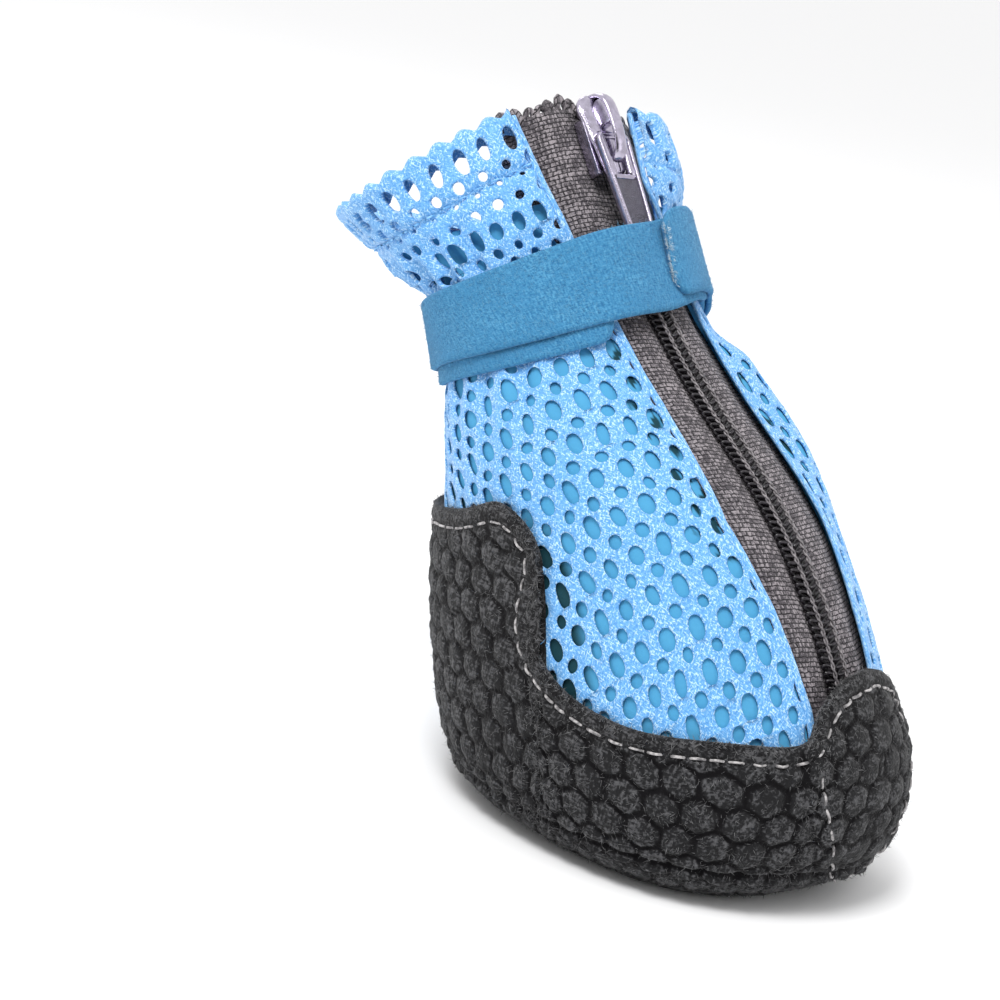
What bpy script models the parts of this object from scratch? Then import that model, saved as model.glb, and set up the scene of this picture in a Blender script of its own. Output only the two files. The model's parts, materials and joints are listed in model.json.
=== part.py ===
"""A dog's boot: a mesh upper with a front zip, a padded cup sole and an ankle strap.

Metres, +Z up. The toe points to -Y and the boot stands on its sole at z = 0. The origin
is at the bottom of the boot's box, in its middle. A place on the upper is given by its
ring, which counts the rows of SECTIONS from the sole up to the rim, and by its turn, in
degrees round that ring from the toe's middle: positive towards -X, 180 at the heel.
"""

import math
from typing import NamedTuple

import bmesh
import bpy
import numpy as np
from mathutils import Matrix, Vector

# The last
LAST_LENGTH = 0.090
BALL_WIDTH = 0.068
LAST_HEIGHT = 0.1204
TOE_SPRING = 0.0015
TOE_BREAK = -0.024

# The upper
MESH_WALL = 0.0016
HEM_STEP = 0.0008
HEM_RING = 8.5
RIM_RING = 9.0

# The sole
LUG_HEIGHT = 0.0008
LUG_PITCH = 0.0078
LUG_WIDTH = 0.0064
LUG_MARGIN = 0.0034
PLATE = 0.0015
RAND_WALL = 0.0018
SEAM_DEPTH = 0.0007
INSOLE_THICKNESS = 0.0015
INSOLE_INSET = 0.0024

# The zip
TAPE_THICKNESS = 0.0007
TAPE_UNDERLAP = 0.0045
TAPE_CROWN = 0.0003
CHAIN_WIDTH = 0.0060
CHAIN_HEIGHT = 0.0015
CHAIN_GAP = 0.00015
THROAT_RING = 2.85
THROAT_ROUND = 0.20
CHAIN_END_RING = 3.04
TAPE_END_RING = 2.62
TAPE_TOP_RING = 8.97
TAB_LIFT = 0.0008
TAB_LIFT_TURN = 17.0
SLIDER_RING = 8.712
SLIDER_LENGTH = 0.0166
SLIDER_WIDTH = 0.0096
SLIDER_FOOT_WIDTH = 0.0082
SLIDER_PLATE = 0.0010
FLANGE = 0.0011
NECK_WIDTH = 0.0024
NECK_LENGTH = 0.0030
BRIDGE_WIDTH = 0.0026
BRIDGE_BAR = 0.0012
BRIDGE_FRONT = 0.0027
BRIDGE_BACK = -0.0047
PULL_LENGTH = 0.0222
PULL_WIDTH = 0.0086
PULL_FOOT_WIDTH = 0.0064
PULL_THICKNESS = 0.0016
PULL_BAR = 0.0014
PULL_WINDOW_LENGTH = 0.0066
PULL_WINDOW_WIDTH = 0.0044
PULL_HOLE_LENGTH = 0.0030
PULL_HOLE_WIDTH = 0.0024
HINGE_PLACE = -0.0004

# The strap
STRAP_WIDTH = 0.0170
STRAP_THICKNESS = 0.0013
STRAP_START_TURN = 30.0
STRAP_END_TURN = 718.0
STRAP_CORNER = 0.0042
STRAP_LIFT_TOP = 0.0038
STRAP_LIFT_FOOT = 0.0012
UNDERLAYER_DROP = 0.0030
FREE_END_RISE = 0.0012

# Between any two pieces
GAP = 0.0003

# Fineness
RAND_COLUMNS = 74
RISE_WEIGHT = 24.0
UPPER_COLUMNS = 40
STRAP_STEP = 8.0

SOLE_TOP = LUG_HEIGHT + PLATE + GAP
TAPE_DEPTH = MESH_WALL + GAP


class Section(NamedTuple):
    """One ring of the last. Its y are shares of LAST_LENGTH, its z and droop shares of
    LAST_HEIGHT above the sole, its width a share of BALL_WIDTH."""

    name: str
    front_y: float
    front_z: float
    back_y: float
    back_z: float
    width: float
    squareness: float
    forward: float
    droop: float


SECTIONS = (
    Section("feather", -0.411, 0.000, 0.305, 0.000, 0.765, 2.30, 0.08, 0.000),
    Section("welt", -0.489, 0.045, 0.389, 0.037, 0.941, 2.30, 0.06, 0.000),
    Section("ball", -0.517, 0.145, 0.478, 0.145, 1.000, 2.20, 0.05, 0.000),
    Section("throat", -0.456, 0.269, 0.539, 0.269, 0.985, 2.15, 0.03, 0.000),
    Section("instep", -0.344, 0.394, 0.568, 0.385, 0.956, 2.15, 0.02, 0.000),
    Section("heel", -0.178, 0.518, 0.584, 0.476, 0.926, 2.20, 0.00, 0.000),
    Section("ankle", 0.022, 0.622, 0.600, 0.541, 0.852, 2.20, 0.00, 0.000),
    Section("strap", 0.189, 0.722, 0.667, 0.645, 0.750, 2.10, 0.00, 0.008),
    Section("collar", 0.338, 0.836, 0.803, 0.672, 0.812, 2.05, 0.00, 0.029),
    Section("rim", 0.512, 0.994, 0.989, 0.726, 0.941, 2.00, 0.00, 0.058),
)


class Edge(NamedTuple):
    """A point of the rand's top edge. The turn is from the toe tab's middle where sway is
    1, and foot is the turn at which the same column starts at the sole."""

    name: str
    turn: float
    ring: float
    foot: float
    sway: float


TOE_TAB_TURN = -7.0
RAND_EDGE = (
    Edge("tab crown", 0.0, 3.32, 0.0, 1.0),
    Edge("tab shoulder", 10.0, 3.24, 8.0, 1.0),
    Edge("tab corner", 17.5, 3.06, 15.0, 1.0),
    Edge("tab flank", 22.5, 2.82, 20.0, 1.0),
    Edge("tab root", 27.5, 2.61, 26.0, 1.0),
    Edge("rand front", 40.0, 2.58, 39.0, 0.5),
    Edge("rand side", 53.0, 2.53, 53.0, 0.0),
    Edge("rand waist", 66.0, 2.49, 66.0, 0.0),
    Edge("rand rise", 78.0, 2.56, 77.0, 0.0),
    Edge("counter root", 86.0, 2.74, 83.0, 0.0),
    Edge("counter flank", 90.0, 3.06, 87.0, 0.0),
    Edge("counter neck", 89.0, 3.46, 90.0, 0.0),
    Edge("counter corner", 86.0, 3.94, 93.0, 0.0),
    Edge("counter shoulder", 88.5, 4.27, 97.0, 0.0),
    Edge("counter crown", 96.0, 4.39, 102.0, 0.0),
    Edge("counter fall", 110.0, 4.14, 113.0, 0.0),
    Edge("counter back", 138.0, 3.86, 139.0, 0.0),
    Edge("heel seam", 180.0, 3.76, 180.0, 0.0),
)


class Throat(NamedTuple):
    """How far each edge of the zip's opening lies from the middle, as a share of BALL_WIDTH."""

    ring: float
    half_width: float


THROAT = (
    Throat(2.0, 0.140),
    Throat(3.0, 0.141),
    Throat(4.0, 0.169),
    Throat(4.8, 0.204),
    Throat(6.0, 0.183),
    Throat(7.0, 0.180),
    Throat(8.0, 0.203),
    Throat(9.0, 0.250),
    Throat(9.4, 0.262),
)


class StrapLine(NamedTuple):
    """The ring on which the strap's middle lies, at a turn."""

    turn: float
    ring: float


STRAP_LINE = (
    StrapLine(-180.0, 6.60),
    StrapLine(-130.0, 6.85),
    StrapLine(-90.0, 7.40),
    StrapLine(-50.0, 7.75),
    StrapLine(-20.0, 7.62),
    StrapLine(0.0, 7.48),
    StrapLine(50.0, 7.23),
    StrapLine(90.0, 6.96),
    StrapLine(130.0, 6.72),
    StrapLine(180.0, 6.60),
)

# The rings of the upper's rows, with the hem's step as two rows close together
UPPER_ROWS = (
    0.0, 0.35, 0.8, 1.35, 1.85, 2.35, THROAT_RING, THROAT_RING + 0.06,
    THROAT_RING + THROAT_ROUND, 3.5, 4.0, 4.5, 5.0, 5.6, 6.1, 6.55, 6.9, 7.2, 7.5, 7.9,
    HEM_RING - 0.03, HEM_RING + 0.02, RIM_RING,
)


def smooth(share):
    """A soft step from 0 to 1."""
    share = np.clip(share, 0.0, 1.0)
    return share * share * (3.0 - 2.0 * share)


class Spline:
    """A natural cubic spline through rows of values that are one step apart."""

    def __init__(self, rows):
        self.rows = np.array(rows, float)
        count = len(self.rows)
        matrix = np.eye(count)
        bend = np.zeros_like(self.rows)
        for i in range(1, count - 1):
            matrix[i, i - 1 : i + 2] = 1.0, 4.0, 1.0
            bend[i] = 6.0 * (self.rows[i - 1] - 2.0 * self.rows[i] + self.rows[i + 1])
        self.bends = np.linalg.solve(matrix, bend)

    def at(self, place):
        """The values at a place, with straight ends beyond the first and last rows."""
        low = int(np.clip(math.floor(place), 0, len(self.rows) - 2))
        after = place - low
        before = 1.0 - after
        inside = 1.0 if 0.0 <= after <= 1.0 else 0.0
        curve = (before**3 - before) * self.bends[low] + (after**3 - after) * self.bends[low + 1]
        straight = before * self.rows[low] + after * self.rows[low + 1]
        return straight + inside * curve / 6.0


LAST_SPLINE = Spline([section[1:] for section in SECTIONS])


def toe_lift(y):
    """How far the toe spring lifts what is at y on the last."""
    tip = SECTIONS[2].front_y * LAST_LENGTH
    share = np.clip((TOE_BREAK - y) / (TOE_BREAK - tip), 0.0, 1.2)
    return TOE_SPRING * share * share


def last_point(ring, turn):
    """A point of the upper's outer face, before the origin is moved."""
    front_y, front_z, back_y, back_z, width, squareness, forward, droop = LAST_SPLINE.at(ring)
    angle = math.radians(turn)
    power = 2.0 / squareness
    along = math.copysign(abs(math.cos(angle)) ** power, math.cos(angle))
    across = math.copysign(abs(math.sin(angle)) ** power, math.sin(angle))
    along += forward * (1.0 - along * along)
    front = Vector((0.0, front_y * LAST_LENGTH, SOLE_TOP + front_z * LAST_HEIGHT))
    back = Vector((0.0, back_y * LAST_LENGTH, SOLE_TOP + back_z * LAST_HEIGHT))
    spine = (front - back) / 2.0
    up = Vector((0.0, spine.z, -spine.y)).normalized()
    point = (front + back) / 2.0 + spine * along
    point -= up * (droop * LAST_HEIGHT * math.sin(angle) ** 2)
    point.x = -across * width * BALL_WIDTH / 2.0
    point.z += toe_lift(point.y)
    return point


def last_normal(ring, turn):
    """The outward direction at a point of the upper's outer face."""
    up = last_point(ring + 0.01, turn) - last_point(ring - 0.01, turn)
    around = last_point(ring, turn + 0.5) - last_point(ring, turn - 0.5)
    return up.cross(around).normalized()


def middle_of_box():
    """The y of the middle between the toe and the rim's back, where the origin goes."""
    rand = RAND_WALL + GAP
    toe = min(last_point(1.0 + step / 10.0, 0.0).y for step in range(16)) - rand
    rim = last_point(RIM_RING, 180.0) + last_normal(RIM_RING, 180.0) * HEM_STEP
    return (toe + rim.y) / 2.0


MIDDLE_Y = middle_of_box()


def surface(ring, turn, outward=0.0):
    """A point at a distance outward from the upper's outer face, in the boot's frame."""
    point = last_point(ring, turn) + last_normal(ring, turn) * outward
    return Vector((point.x, point.y - MIDDLE_Y, point.z))


def turn_at(ring, lateral):
    """The turn at which a ring's front is a given distance towards -X from the middle."""
    half = LAST_SPLINE.at(ring)[4] * BALL_WIDTH / 2.0
    squareness = LAST_SPLINE.at(ring)[5]
    share = min(abs(lateral) / half, 0.999)
    return math.copysign(math.degrees(math.asin(share ** (squareness / 2.0))), lateral)


def throat_half_width(ring):
    """Half the width of the zip's opening, with no account of its round lower end."""
    rings = [row.ring for row in THROAT]
    widths = [row.half_width for row in THROAT]
    return BALL_WIDTH * float(np.interp(ring, rings, widths))


def opening_half_width(ring):
    """Half the width of the slot in the upper, which ends in an arc under the toe tab."""
    if ring <= THROAT_RING + 1e-6:
        return 0.0
    into = min((ring - THROAT_RING) / THROAT_ROUND, 1.0)
    return throat_half_width(ring) * math.sqrt(1.0 - (1.0 - into) ** 2)


def meridian(ring, turn, distance):
    """The ring reached by going a distance up the upper from a ring, at one turn."""
    steps = 8
    for _ in range(steps):
        speed = (last_point(ring + 0.01, turn) - last_point(ring - 0.01, turn)).length / 0.02
        ring += distance / steps / speed
    return ring


def new_object(name, mesh, material):
    """Link a mesh as a named object with one material and soft shading."""
    for polygon in mesh.polygons:
        polygon.use_smooth = True
    mesh.set_sharp_from_angle(angle=math.radians(40.0))
    mesh.materials.append(material)
    made = bpy.data.objects.new(name, mesh)
    bpy.context.scene.collection.objects.link(made)
    return made


def mesh_from(name, points, faces):
    """A mesh with its faces turned outward."""
    body = bmesh.new()
    corners = [body.verts.new(point) for point in points]
    for face in faces:
        body.faces.new([corners[i] for i in dict.fromkeys(face)])
    bmesh.ops.recalc_face_normals(body, faces=body.faces)
    if body.calc_volume(signed=True) < 0.0:
        bmesh.ops.reverse_faces(body, faces=body.faces)
    mesh = bpy.data.meshes.new(name)
    body.to_mesh(mesh)
    body.free()
    return mesh


def shell(name, outer, inner, joined):
    """A wall between two grids of points. A joined row closes on itself."""
    points = []
    index = {}
    rows, columns = len(outer), len(outer[0])
    for side, grid in enumerate((outer, inner)):
        for j in range(rows):
            for k in range(columns):
                if joined[j] and k == columns - 1:
                    index[side, j, k] = index[side, j, 0]
                    continue
                index[side, j, k] = len(points)
                points.append(grid[j][k])
    faces = []
    for j in range(rows - 1):
        for k in range(columns - 1):
            for side in (0, 1):
                corners = ((j, k), (j, k + 1), (j + 1, k + 1), (j + 1, k))
                faces.append([index[(side, *corner)] for corner in corners])
        if not (joined[j] and joined[j + 1]):
            for k in (0, columns - 1):
                corners = ((0, j, k), (1, j, k), (1, j + 1, k), (0, j + 1, k))
                faces.append([index[corner] for corner in corners])
    for j in (0, rows - 1):
        for k in range(columns - 1):
            corners = ((0, j, k), (0, j, k + 1), (1, j, k + 1), (1, j, k))
            faces.append([index[corner] for corner in corners])
    return mesh_from(name, points, faces)


def skin(name, rings):
    """A closed body over a row of closed rings, with a fan over the first and the last."""
    count = len(rings[0])
    points = [point for ring in rings for point in ring]
    faces = []
    for j in range(len(rings) - 1):
        for k in range(count):
            after = (k + 1) % count
            faces.append([j * count + k, j * count + after, (j + 1) * count + after, (j + 1) * count + k])
    for j, ring in ((0, rings[0]), (len(rings) - 1, rings[-1])):
        points.append(sum(ring, Vector()) / count)
        for k in range(count):
            faces.append([j * count + k, j * count + (k + 1) % count, len(points) - 1])
    return mesh_from(name, points, faces)


def box_mesh(name, low, high):
    """A box between two corners, given in any order of its lengths."""
    body = bmesh.new()
    bmesh.ops.create_cube(body, size=1.0)
    low, high = Vector(low), Vector(high)
    for corner in body.verts:
        corner.co = low + Vector(((high[i] - low[i]) * (corner.co[i] + 0.5) for i in range(3)))
    mesh = bpy.data.meshes.new(name)
    body.to_mesh(mesh)
    body.free()
    return mesh


def prism_mesh(name, outline, low, high):
    """An outline in x and y, drawn out from one z to another."""
    rings = [[Vector((x, y, z)) for x, y in outline] for z in (low, high)]
    return skin(name, rings)


def helper(name, mesh, frame):
    """A body that only cuts or joins, placed in a frame and left out of the render."""
    made = bpy.data.objects.new(name, mesh)
    bpy.context.scene.collection.objects.link(made)
    made.matrix_world = frame
    made.hide_render = True
    made.display_type = "WIRE"
    return made


def combine(target, other, operation):
    """Join or cut one object with another by a Boolean that stays on it."""
    modifier = target.modifiers.new(other.name, "BOOLEAN")
    modifier.operation = operation
    modifier.solver = "EXACT"
    modifier.object = other


def finish(name, color, roughness, metallic=0.0):
    """A plain material of one colour."""
    material = bpy.data.materials.new(name)
    material.use_nodes = True
    shader = material.node_tree.nodes["Principled BSDF"]
    shader.inputs["Base Color"].default_value = (*color, 1.0)
    shader.inputs["Roughness"].default_value = roughness
    shader.inputs["Metallic"].default_value = metallic
    return material


RAND_SPLINE = Spline([edge[1:] for edge in RAND_EDGE])


def rand_column(side, place):
    """The turn at the foot, and the turn and ring at the top, of one column of the rand."""
    turn, ring, foot, sway = RAND_SPLINE.at(place)
    return side * foot, side * turn + sway * TOE_TAB_TURN, ring


def rand_columns():
    """Every column of the rand, once round from the toe tab's middle, with more of them
    where its edge climbs."""
    fine = np.linspace(0.0, len(RAND_EDGE) - 1.0, 400)
    edge = np.array([RAND_SPLINE.at(place) for place in fine])
    steps = np.abs(np.diff(edge[:, 2])) + RISE_WEIGHT * np.abs(np.diff(edge[:, 1]))
    reach = np.concatenate(([0.0], np.cumsum(steps)))
    places = np.interp(np.linspace(0.0, reach[-1], RAND_COLUMNS // 2 + 1), reach, fine)
    near = [rand_column(1.0, place) for place in places]
    far = [rand_column(-1.0, place) for place in places[1:-1]]
    return near + far[::-1]


def tab_lift(ring, turn):
    """How far the toe tab stands off the last, to clear the end of the zip's chain."""
    beside = 1.0 - smooth((abs(turn) - TAB_LIFT_TURN / 2.0) / TAB_LIFT_TURN)
    return TAB_LIFT * float(beside * smooth((ring - 2.2) / 0.75))


def rand_point(column, share, base_ring, outward):
    """A point of the rand, a share of the way from a ring up to its top edge."""
    foot, top, edge = column
    ring = base_ring + share * (edge - base_ring)
    reach = ring / edge
    turn = foot + (top - foot) * float(smooth(reach))
    return surface(ring, turn, outward + tab_lift(ring, turn))


def flat_ring(loop, height, inset):
    """A loop drawn in towards its middle by a distance, and laid at a height over the floor."""
    middle = sum(loop, Vector()) / len(loop)
    laid = []
    for point in loop:
        inward = Vector((middle.x - point.x, middle.y - point.y, 0.0))
        moved = point + inward.normalized() * min(inset, inward.length)
        laid.append(Vector((moved.x, moved.y, height + float(toe_lift(moved.y + MIDDLE_Y)))))
    return laid


def shrunk(loop, share, height):
    """A smaller copy of a loop about its own middle, at a height over the floor."""
    middle = sum(loop, Vector()) / len(loop)
    laid = [middle + (point - middle) * share for point in loop]
    return [Vector((p.x, p.y, height + float(toe_lift(p.y + MIDDLE_Y)))) for p in laid]


def make_sole(material):
    """The cup: underside, seam groove, rand with its toe tab and counter, inner face, floor."""
    columns = rand_columns()
    seam_ring = 0.72
    outer = RAND_WALL + GAP
    walls = []
    base = UPPER_ROWS[3]
    for ring, outward in (
        (0.0, outer), (0.35, outer), (seam_ring - 0.12, outer), (seam_ring, outer - SEAM_DEPTH),
        (seam_ring + 0.12, outer), (base, outer),
    ):
        walls.append([surface(ring, column[0], outward) for column in columns])
    shares = np.linspace(0.0, 1.0, 7)
    for share in shares[1:]:
        walls.append([rand_point(column, share, base, outer) for column in columns])
    linings = []
    for share in shares[::-1]:
        linings.append([rand_point(column, share, base, GAP) for column in columns])
    for ring in UPPER_ROWS[2::-1]:
        linings.append([surface(ring, column[0], GAP) for column in columns])
    underside = flat_ring(walls[0], LUG_HEIGHT, outer)
    floor = flat_ring(linings[-1], LUG_HEIGHT + PLATE, MESH_WALL)
    rings = [shrunk(underside, share, LUG_HEIGHT) for share in (0.3, 0.65)]
    rings += [underside, *walls, *linings, floor]
    rings += [shrunk(floor, share, LUG_HEIGHT + PLATE) for share in (0.65, 0.3)]
    sole = new_object("sole", skin("sole", rings), material)
    lugs = helper("sole_lugs", lug_mesh(walls[0]), Matrix.Identity(4))
    combine(sole, lugs, "UNION")
    return sole


def inside(loop, x, y, margin):
    """Whether a place lies inside a loop by more than a margin."""
    crossings = 0
    nearest = math.inf
    for k, first in enumerate(loop):
        second = loop[(k + 1) % len(loop)]
        run = (second - first).xy
        share = np.clip(((x - first.x) * run.x + (y - first.y) * run.y) / run.length_squared, 0.0, 1.0)
        nearest = min(nearest, math.hypot(first.x + share * run.x - x, first.y + share * run.y - y))
        if (first.y > y) != (second.y > y):
            crossings += first.x + (y - first.y) / run.y * run.x > x
    return crossings % 2 == 1 and nearest > margin


def lug_mesh(underside):
    """Six-sided pads in staggered rows over the underside, each with sloping flanks."""
    points = []
    faces = []
    rows = int(LAST_LENGTH / LUG_PITCH)
    for row in range(-rows, rows + 1):
        for place in range(-rows, rows + 1):
            x = (place + 0.5 * (row % 2)) * LUG_PITCH
            y = row * LUG_PITCH * math.sin(math.radians(60.0)) + underside_middle(underside)
            if not inside(underside, x, y, LUG_MARGIN):
                continue
            base = len(points)
            lift = float(toe_lift(y + MIDDLE_Y))
            for radius, z in ((0.86, 0.0), (1.0, LUG_HEIGHT + PLATE / 2.0)):
                for corner in range(6):
                    angle = math.radians(30.0 + 60.0 * corner)
                    reach = radius * LUG_WIDTH / 2.0 / math.cos(math.radians(30.0))
                    points.append(Vector((x + reach * math.cos(angle), y + reach * math.sin(angle), z + lift)))
            for corner in range(6):
                after = (corner + 1) % 6
                faces.append([base + corner, base + after, base + 6 + after, base + 6 + corner])
            faces.append([base + corner for corner in range(6)])
            faces.append([base + 6 + corner for corner in range(6)])
    return mesh_from("sole_lugs", points, faces)


def underside_middle(underside):
    """The y of the middle of the underside."""
    return sum(point.y for point in underside) / len(underside)


def make_insole(material):
    """A flat pad that lies on the cup's floor, inside the foot of the upper."""
    columns = rand_columns()[::2]
    foot = [surface(0.0, column[0], 0.0) for column in columns]
    low = flat_ring(foot, SOLE_TOP, INSOLE_INSET)
    high = flat_ring(foot, SOLE_TOP + INSOLE_THICKNESS, INSOLE_INSET)
    rings = [shrunk(low, 0.5, SOLE_TOP), low, high]
    rings.append(shrunk(high, 0.5, SOLE_TOP + INSOLE_THICKNESS))
    return new_object("insole", skin("insole", rings), material)


def make_upper(material):
    """The mesh tube, with the zip's slot in front and a thicker hem round the rim."""
    outer, inner, joined = [], [], []
    for ring in UPPER_ROWS:
        edge = turn_at(ring, opening_half_width(ring)) if ring > THROAT_RING else 0.0
        turns = np.linspace(edge, 360.0 - edge, UPPER_COLUMNS + 1)
        step = HEM_STEP if ring > HEM_RING else 0.0
        outer.append([surface(ring, turn, step) for turn in turns])
        inner.append([surface(ring, turn, -MESH_WALL) for turn in turns])
        joined.append(ring <= THROAT_RING + 1e-6)
    return new_object("upper", shell("upper", outer, inner, joined), material)


def tape_outward(ring, lateral):
    """How far a tape's outer face lies from the last: it rises between the upper's edges."""
    opening = opening_half_width(ring)
    if opening <= 0.0:
        return -TAPE_DEPTH
    share = abs(lateral) / opening
    crown = (1.0 - smooth((share - 0.62) / 0.26)) * smooth((ring - THROAT_RING - 0.1) / 0.09)
    return -TAPE_DEPTH + TAPE_CROWN * float(crown)


def make_tape(side, name, material):
    """One woven tape, from the chain's middle to an edge hidden under the upper."""
    rings = [TAPE_END_RING, THROAT_RING, THROAT_RING + 0.1, THROAT_RING + 0.19, 3.3]
    rings += list(np.linspace(3.7, 8.4, 13)) + [SLIDER_RING, RIM_RING - 0.14, RIM_RING - 0.05, TAPE_TOP_RING]
    outer, inner = [], []
    for ring in rings:
        parted = float(smooth((ring - SLIDER_RING - 0.02) / 0.12))
        start = CHAIN_GAP + parted * (NECK_WIDTH / 2.0 + GAP)
        opening = throat_half_width(ring)
        end = opening + TAPE_UNDERLAP
        laterals = [start, 0.35 * opening, 0.6 * opening, 0.74 * opening, 0.9 * opening, end]
        rows = [], []
        for lateral in laterals:
            turn = turn_at(ring, side * lateral)
            outward = tape_outward(ring, lateral)
            rows[0].append(surface(ring, turn, outward))
            rows[1].append(surface(ring, turn, outward - TAPE_THICKNESS))
        outer.append(rows[0])
        inner.append(rows[1])
    joined = [False] * len(rings)
    return new_object(name, shell(name, outer, inner, joined), material)


def make_chain(material):
    """The closed chain: a low rounded ridge along the middle of the tapes."""
    end = meridian(SLIDER_RING, 0.0, NECK_LENGTH / 2.0)
    outer, inner = [], []
    for ring in np.linspace(CHAIN_END_RING, end, 22):
        rows = [], []
        for share in (-1.0, -0.8, -0.35, 0.0, 0.35, 0.8, 1.0):
            lateral = share * CHAIN_WIDTH / 2.0
            turn = turn_at(ring, lateral)
            foot = -TAPE_DEPTH + TAPE_CROWN + GAP
            crest = CHAIN_HEIGHT * (1.0 - 0.45 * abs(share) ** 3)
            if share == 0.0:
                crest -= 0.12 * CHAIN_HEIGHT
            rows[0].append(surface(ring, turn, foot + crest))
            rows[1].append(surface(ring, turn, foot))
        outer.append(rows[0])
        inner.append(rows[1])
    return new_object("zip_coil", shell("zip_coil", outer, inner, [False] * len(outer)), material)


def zip_frame(ring):
    """A frame on the zip's middle: x across, y up along it, z outward."""
    origin = surface(ring, 0.0)
    up = (surface(ring + 0.05, 0.0) - surface(ring - 0.05, 0.0)).normalized()
    across = Vector((1.0, 0.0, 0.0))
    outward = across.cross(up)
    return Matrix.Translation(origin) @ Matrix((across, up, outward)).transposed().to_4x4()


def tapered(length, top_width, foot_width, corner, low_y):
    """A four-sided outline with round corners, wider at its upper end."""
    outline = []
    for x_side, y_side, start in ((1, 1, 0), (-1, 1, 90), (-1, -1, 180), (1, -1, 270)):
        width = top_width if y_side > 0 else foot_width
        x = x_side * (width / 2.0 - corner)
        y = low_y + corner if y_side < 0 else low_y + length - corner
        for step in range(4):
            angle = math.radians(start + 30.0 * step)
            outline.append((x + corner * math.cos(angle), y + corner * math.sin(angle)))
    return outline


CHAIN_TOP = -TAPE_DEPTH + TAPE_CROWN + GAP + CHAIN_HEIGHT
PLATE_LOW = CHAIN_TOP + GAP
PLATE_TOP = PLATE_LOW + SLIDER_PLATE
HINGE_HEIGHT = PLATE_TOP + GAP + PULL_BAR / 2.0
BRIDGE_LOW = HINGE_HEIGHT + PULL_THICKNESS / 2.0 + GAP
UNDER_TOP = -TAPE_DEPTH + TAPE_CROWN - TAPE_THICKNESS - GAP - 0.0005


def make_slider(material):
    """The slider: a plate over the chain, flanges, a neck to a plate underneath, a bridge."""
    frame = zip_frame(SLIDER_RING)
    half = SLIDER_LENGTH / 2.0
    outline = tapered(SLIDER_LENGTH, SLIDER_WIDTH, SLIDER_FOOT_WIDTH, 0.0016, -half)
    slider = new_object("zip_slider", prism_mesh("zip_slider", outline, PLATE_LOW, PLATE_TOP), material)
    slider.matrix_world = frame
    neck_low = half - NECK_LENGTH
    flange_x = CHAIN_WIDTH / 2.0 + GAP + 0.0001
    flange_foot = -TAPE_DEPTH + TAPE_CROWN + GAP
    bar_x = BRIDGE_WIDTH / 2.0
    joins = [
        ("neck", (-NECK_WIDTH / 2.0, neck_low, UNDER_TOP - SLIDER_PLATE / 2.0),
         (NECK_WIDTH / 2.0, half - 0.0004, PLATE_LOW + SLIDER_PLATE / 2.0)),
        ("bridge_post_top", (-bar_x, BRIDGE_FRONT, PLATE_TOP - SLIDER_PLATE / 2.0),
         (bar_x, BRIDGE_FRONT + BRIDGE_BAR, BRIDGE_LOW + BRIDGE_BAR / 2.0)),
        ("bridge_post_foot", (-bar_x, BRIDGE_BACK - BRIDGE_BAR, PLATE_TOP - SLIDER_PLATE / 2.0),
         (bar_x, BRIDGE_BACK, BRIDGE_LOW + BRIDGE_BAR / 2.0)),
    ]
    for side in (-1.0, 1.0):
        reach = flange_x + FLANGE
        low_x, high_x = sorted((side * flange_x, side * reach))
        joins.append((f"flange_{'left' if side < 0 else 'right'}",
                      (low_x, -half + 0.0012, flange_foot), (high_x, half - 0.0050, PLATE_LOW + SLIDER_PLATE / 2.0)))
    for name, low, high in joins:
        combine(slider, helper(name, box_mesh(name, low, high), frame), "UNION")
    bar = tapered(BRIDGE_FRONT - BRIDGE_BACK + 2.6 * BRIDGE_BAR, BRIDGE_WIDTH * 1.1, BRIDGE_WIDTH * 1.1,
                  0.0008, BRIDGE_BACK - 1.3 * BRIDGE_BAR)
    bar_mesh = prism_mesh("bridge_bar", bar, BRIDGE_LOW, BRIDGE_LOW + BRIDGE_BAR)
    combine(slider, helper("bridge_bar", bar_mesh, frame), "UNION")
    under = tapered(SLIDER_LENGTH - 0.002, SLIDER_WIDTH - 0.001, SLIDER_FOOT_WIDTH - 0.001, 0.0014, 0.002 - half)
    under_mesh = prism_mesh("under_plate", under, UNDER_TOP - SLIDER_PLATE, UNDER_TOP)
    combine(slider, helper("under_plate", under_mesh, frame), "UNION")
    return slider


def make_pull(material):
    """The pull tab, with a window round the bridge and an oval hole at its free end."""
    frame = zip_frame(SLIDER_RING) @ Matrix.Translation((0.0, HINGE_PLACE, HINGE_HEIGHT))
    axis = bpy.data.objects.new("pull_axis", None)
    bpy.context.scene.collection.objects.link(axis)
    axis.matrix_world = frame
    top = PULL_BAR / 2.0
    outline = tapered(PULL_LENGTH, PULL_WIDTH, PULL_FOOT_WIDTH, 0.0018, top - PULL_LENGTH)
    half = PULL_THICKNESS / 2.0
    pull = new_object("zip_pull", prism_mesh("zip_pull", outline, -half, half), material)
    pull.parent = axis
    window_low = -PULL_BAR / 2.0 - PULL_WINDOW_LENGTH
    window = tapered(PULL_WINDOW_LENGTH, PULL_WINDOW_WIDTH, PULL_WINDOW_WIDTH, 0.0007, window_low)
    combine(pull, helper("pull_window", prism_mesh("pull_window", window, -2 * half, 2 * half), frame), "DIFFERENCE")
    hole_low = top - PULL_LENGTH + 0.0013
    hole = tapered(PULL_HOLE_WIDTH, PULL_HOLE_LENGTH, PULL_HOLE_LENGTH, 0.0011, hole_low)
    combine(pull, helper("pull_hole", prism_mesh("pull_hole", hole, -2 * half, 2 * half), frame), "DIFFERENCE")
    return pull


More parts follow.
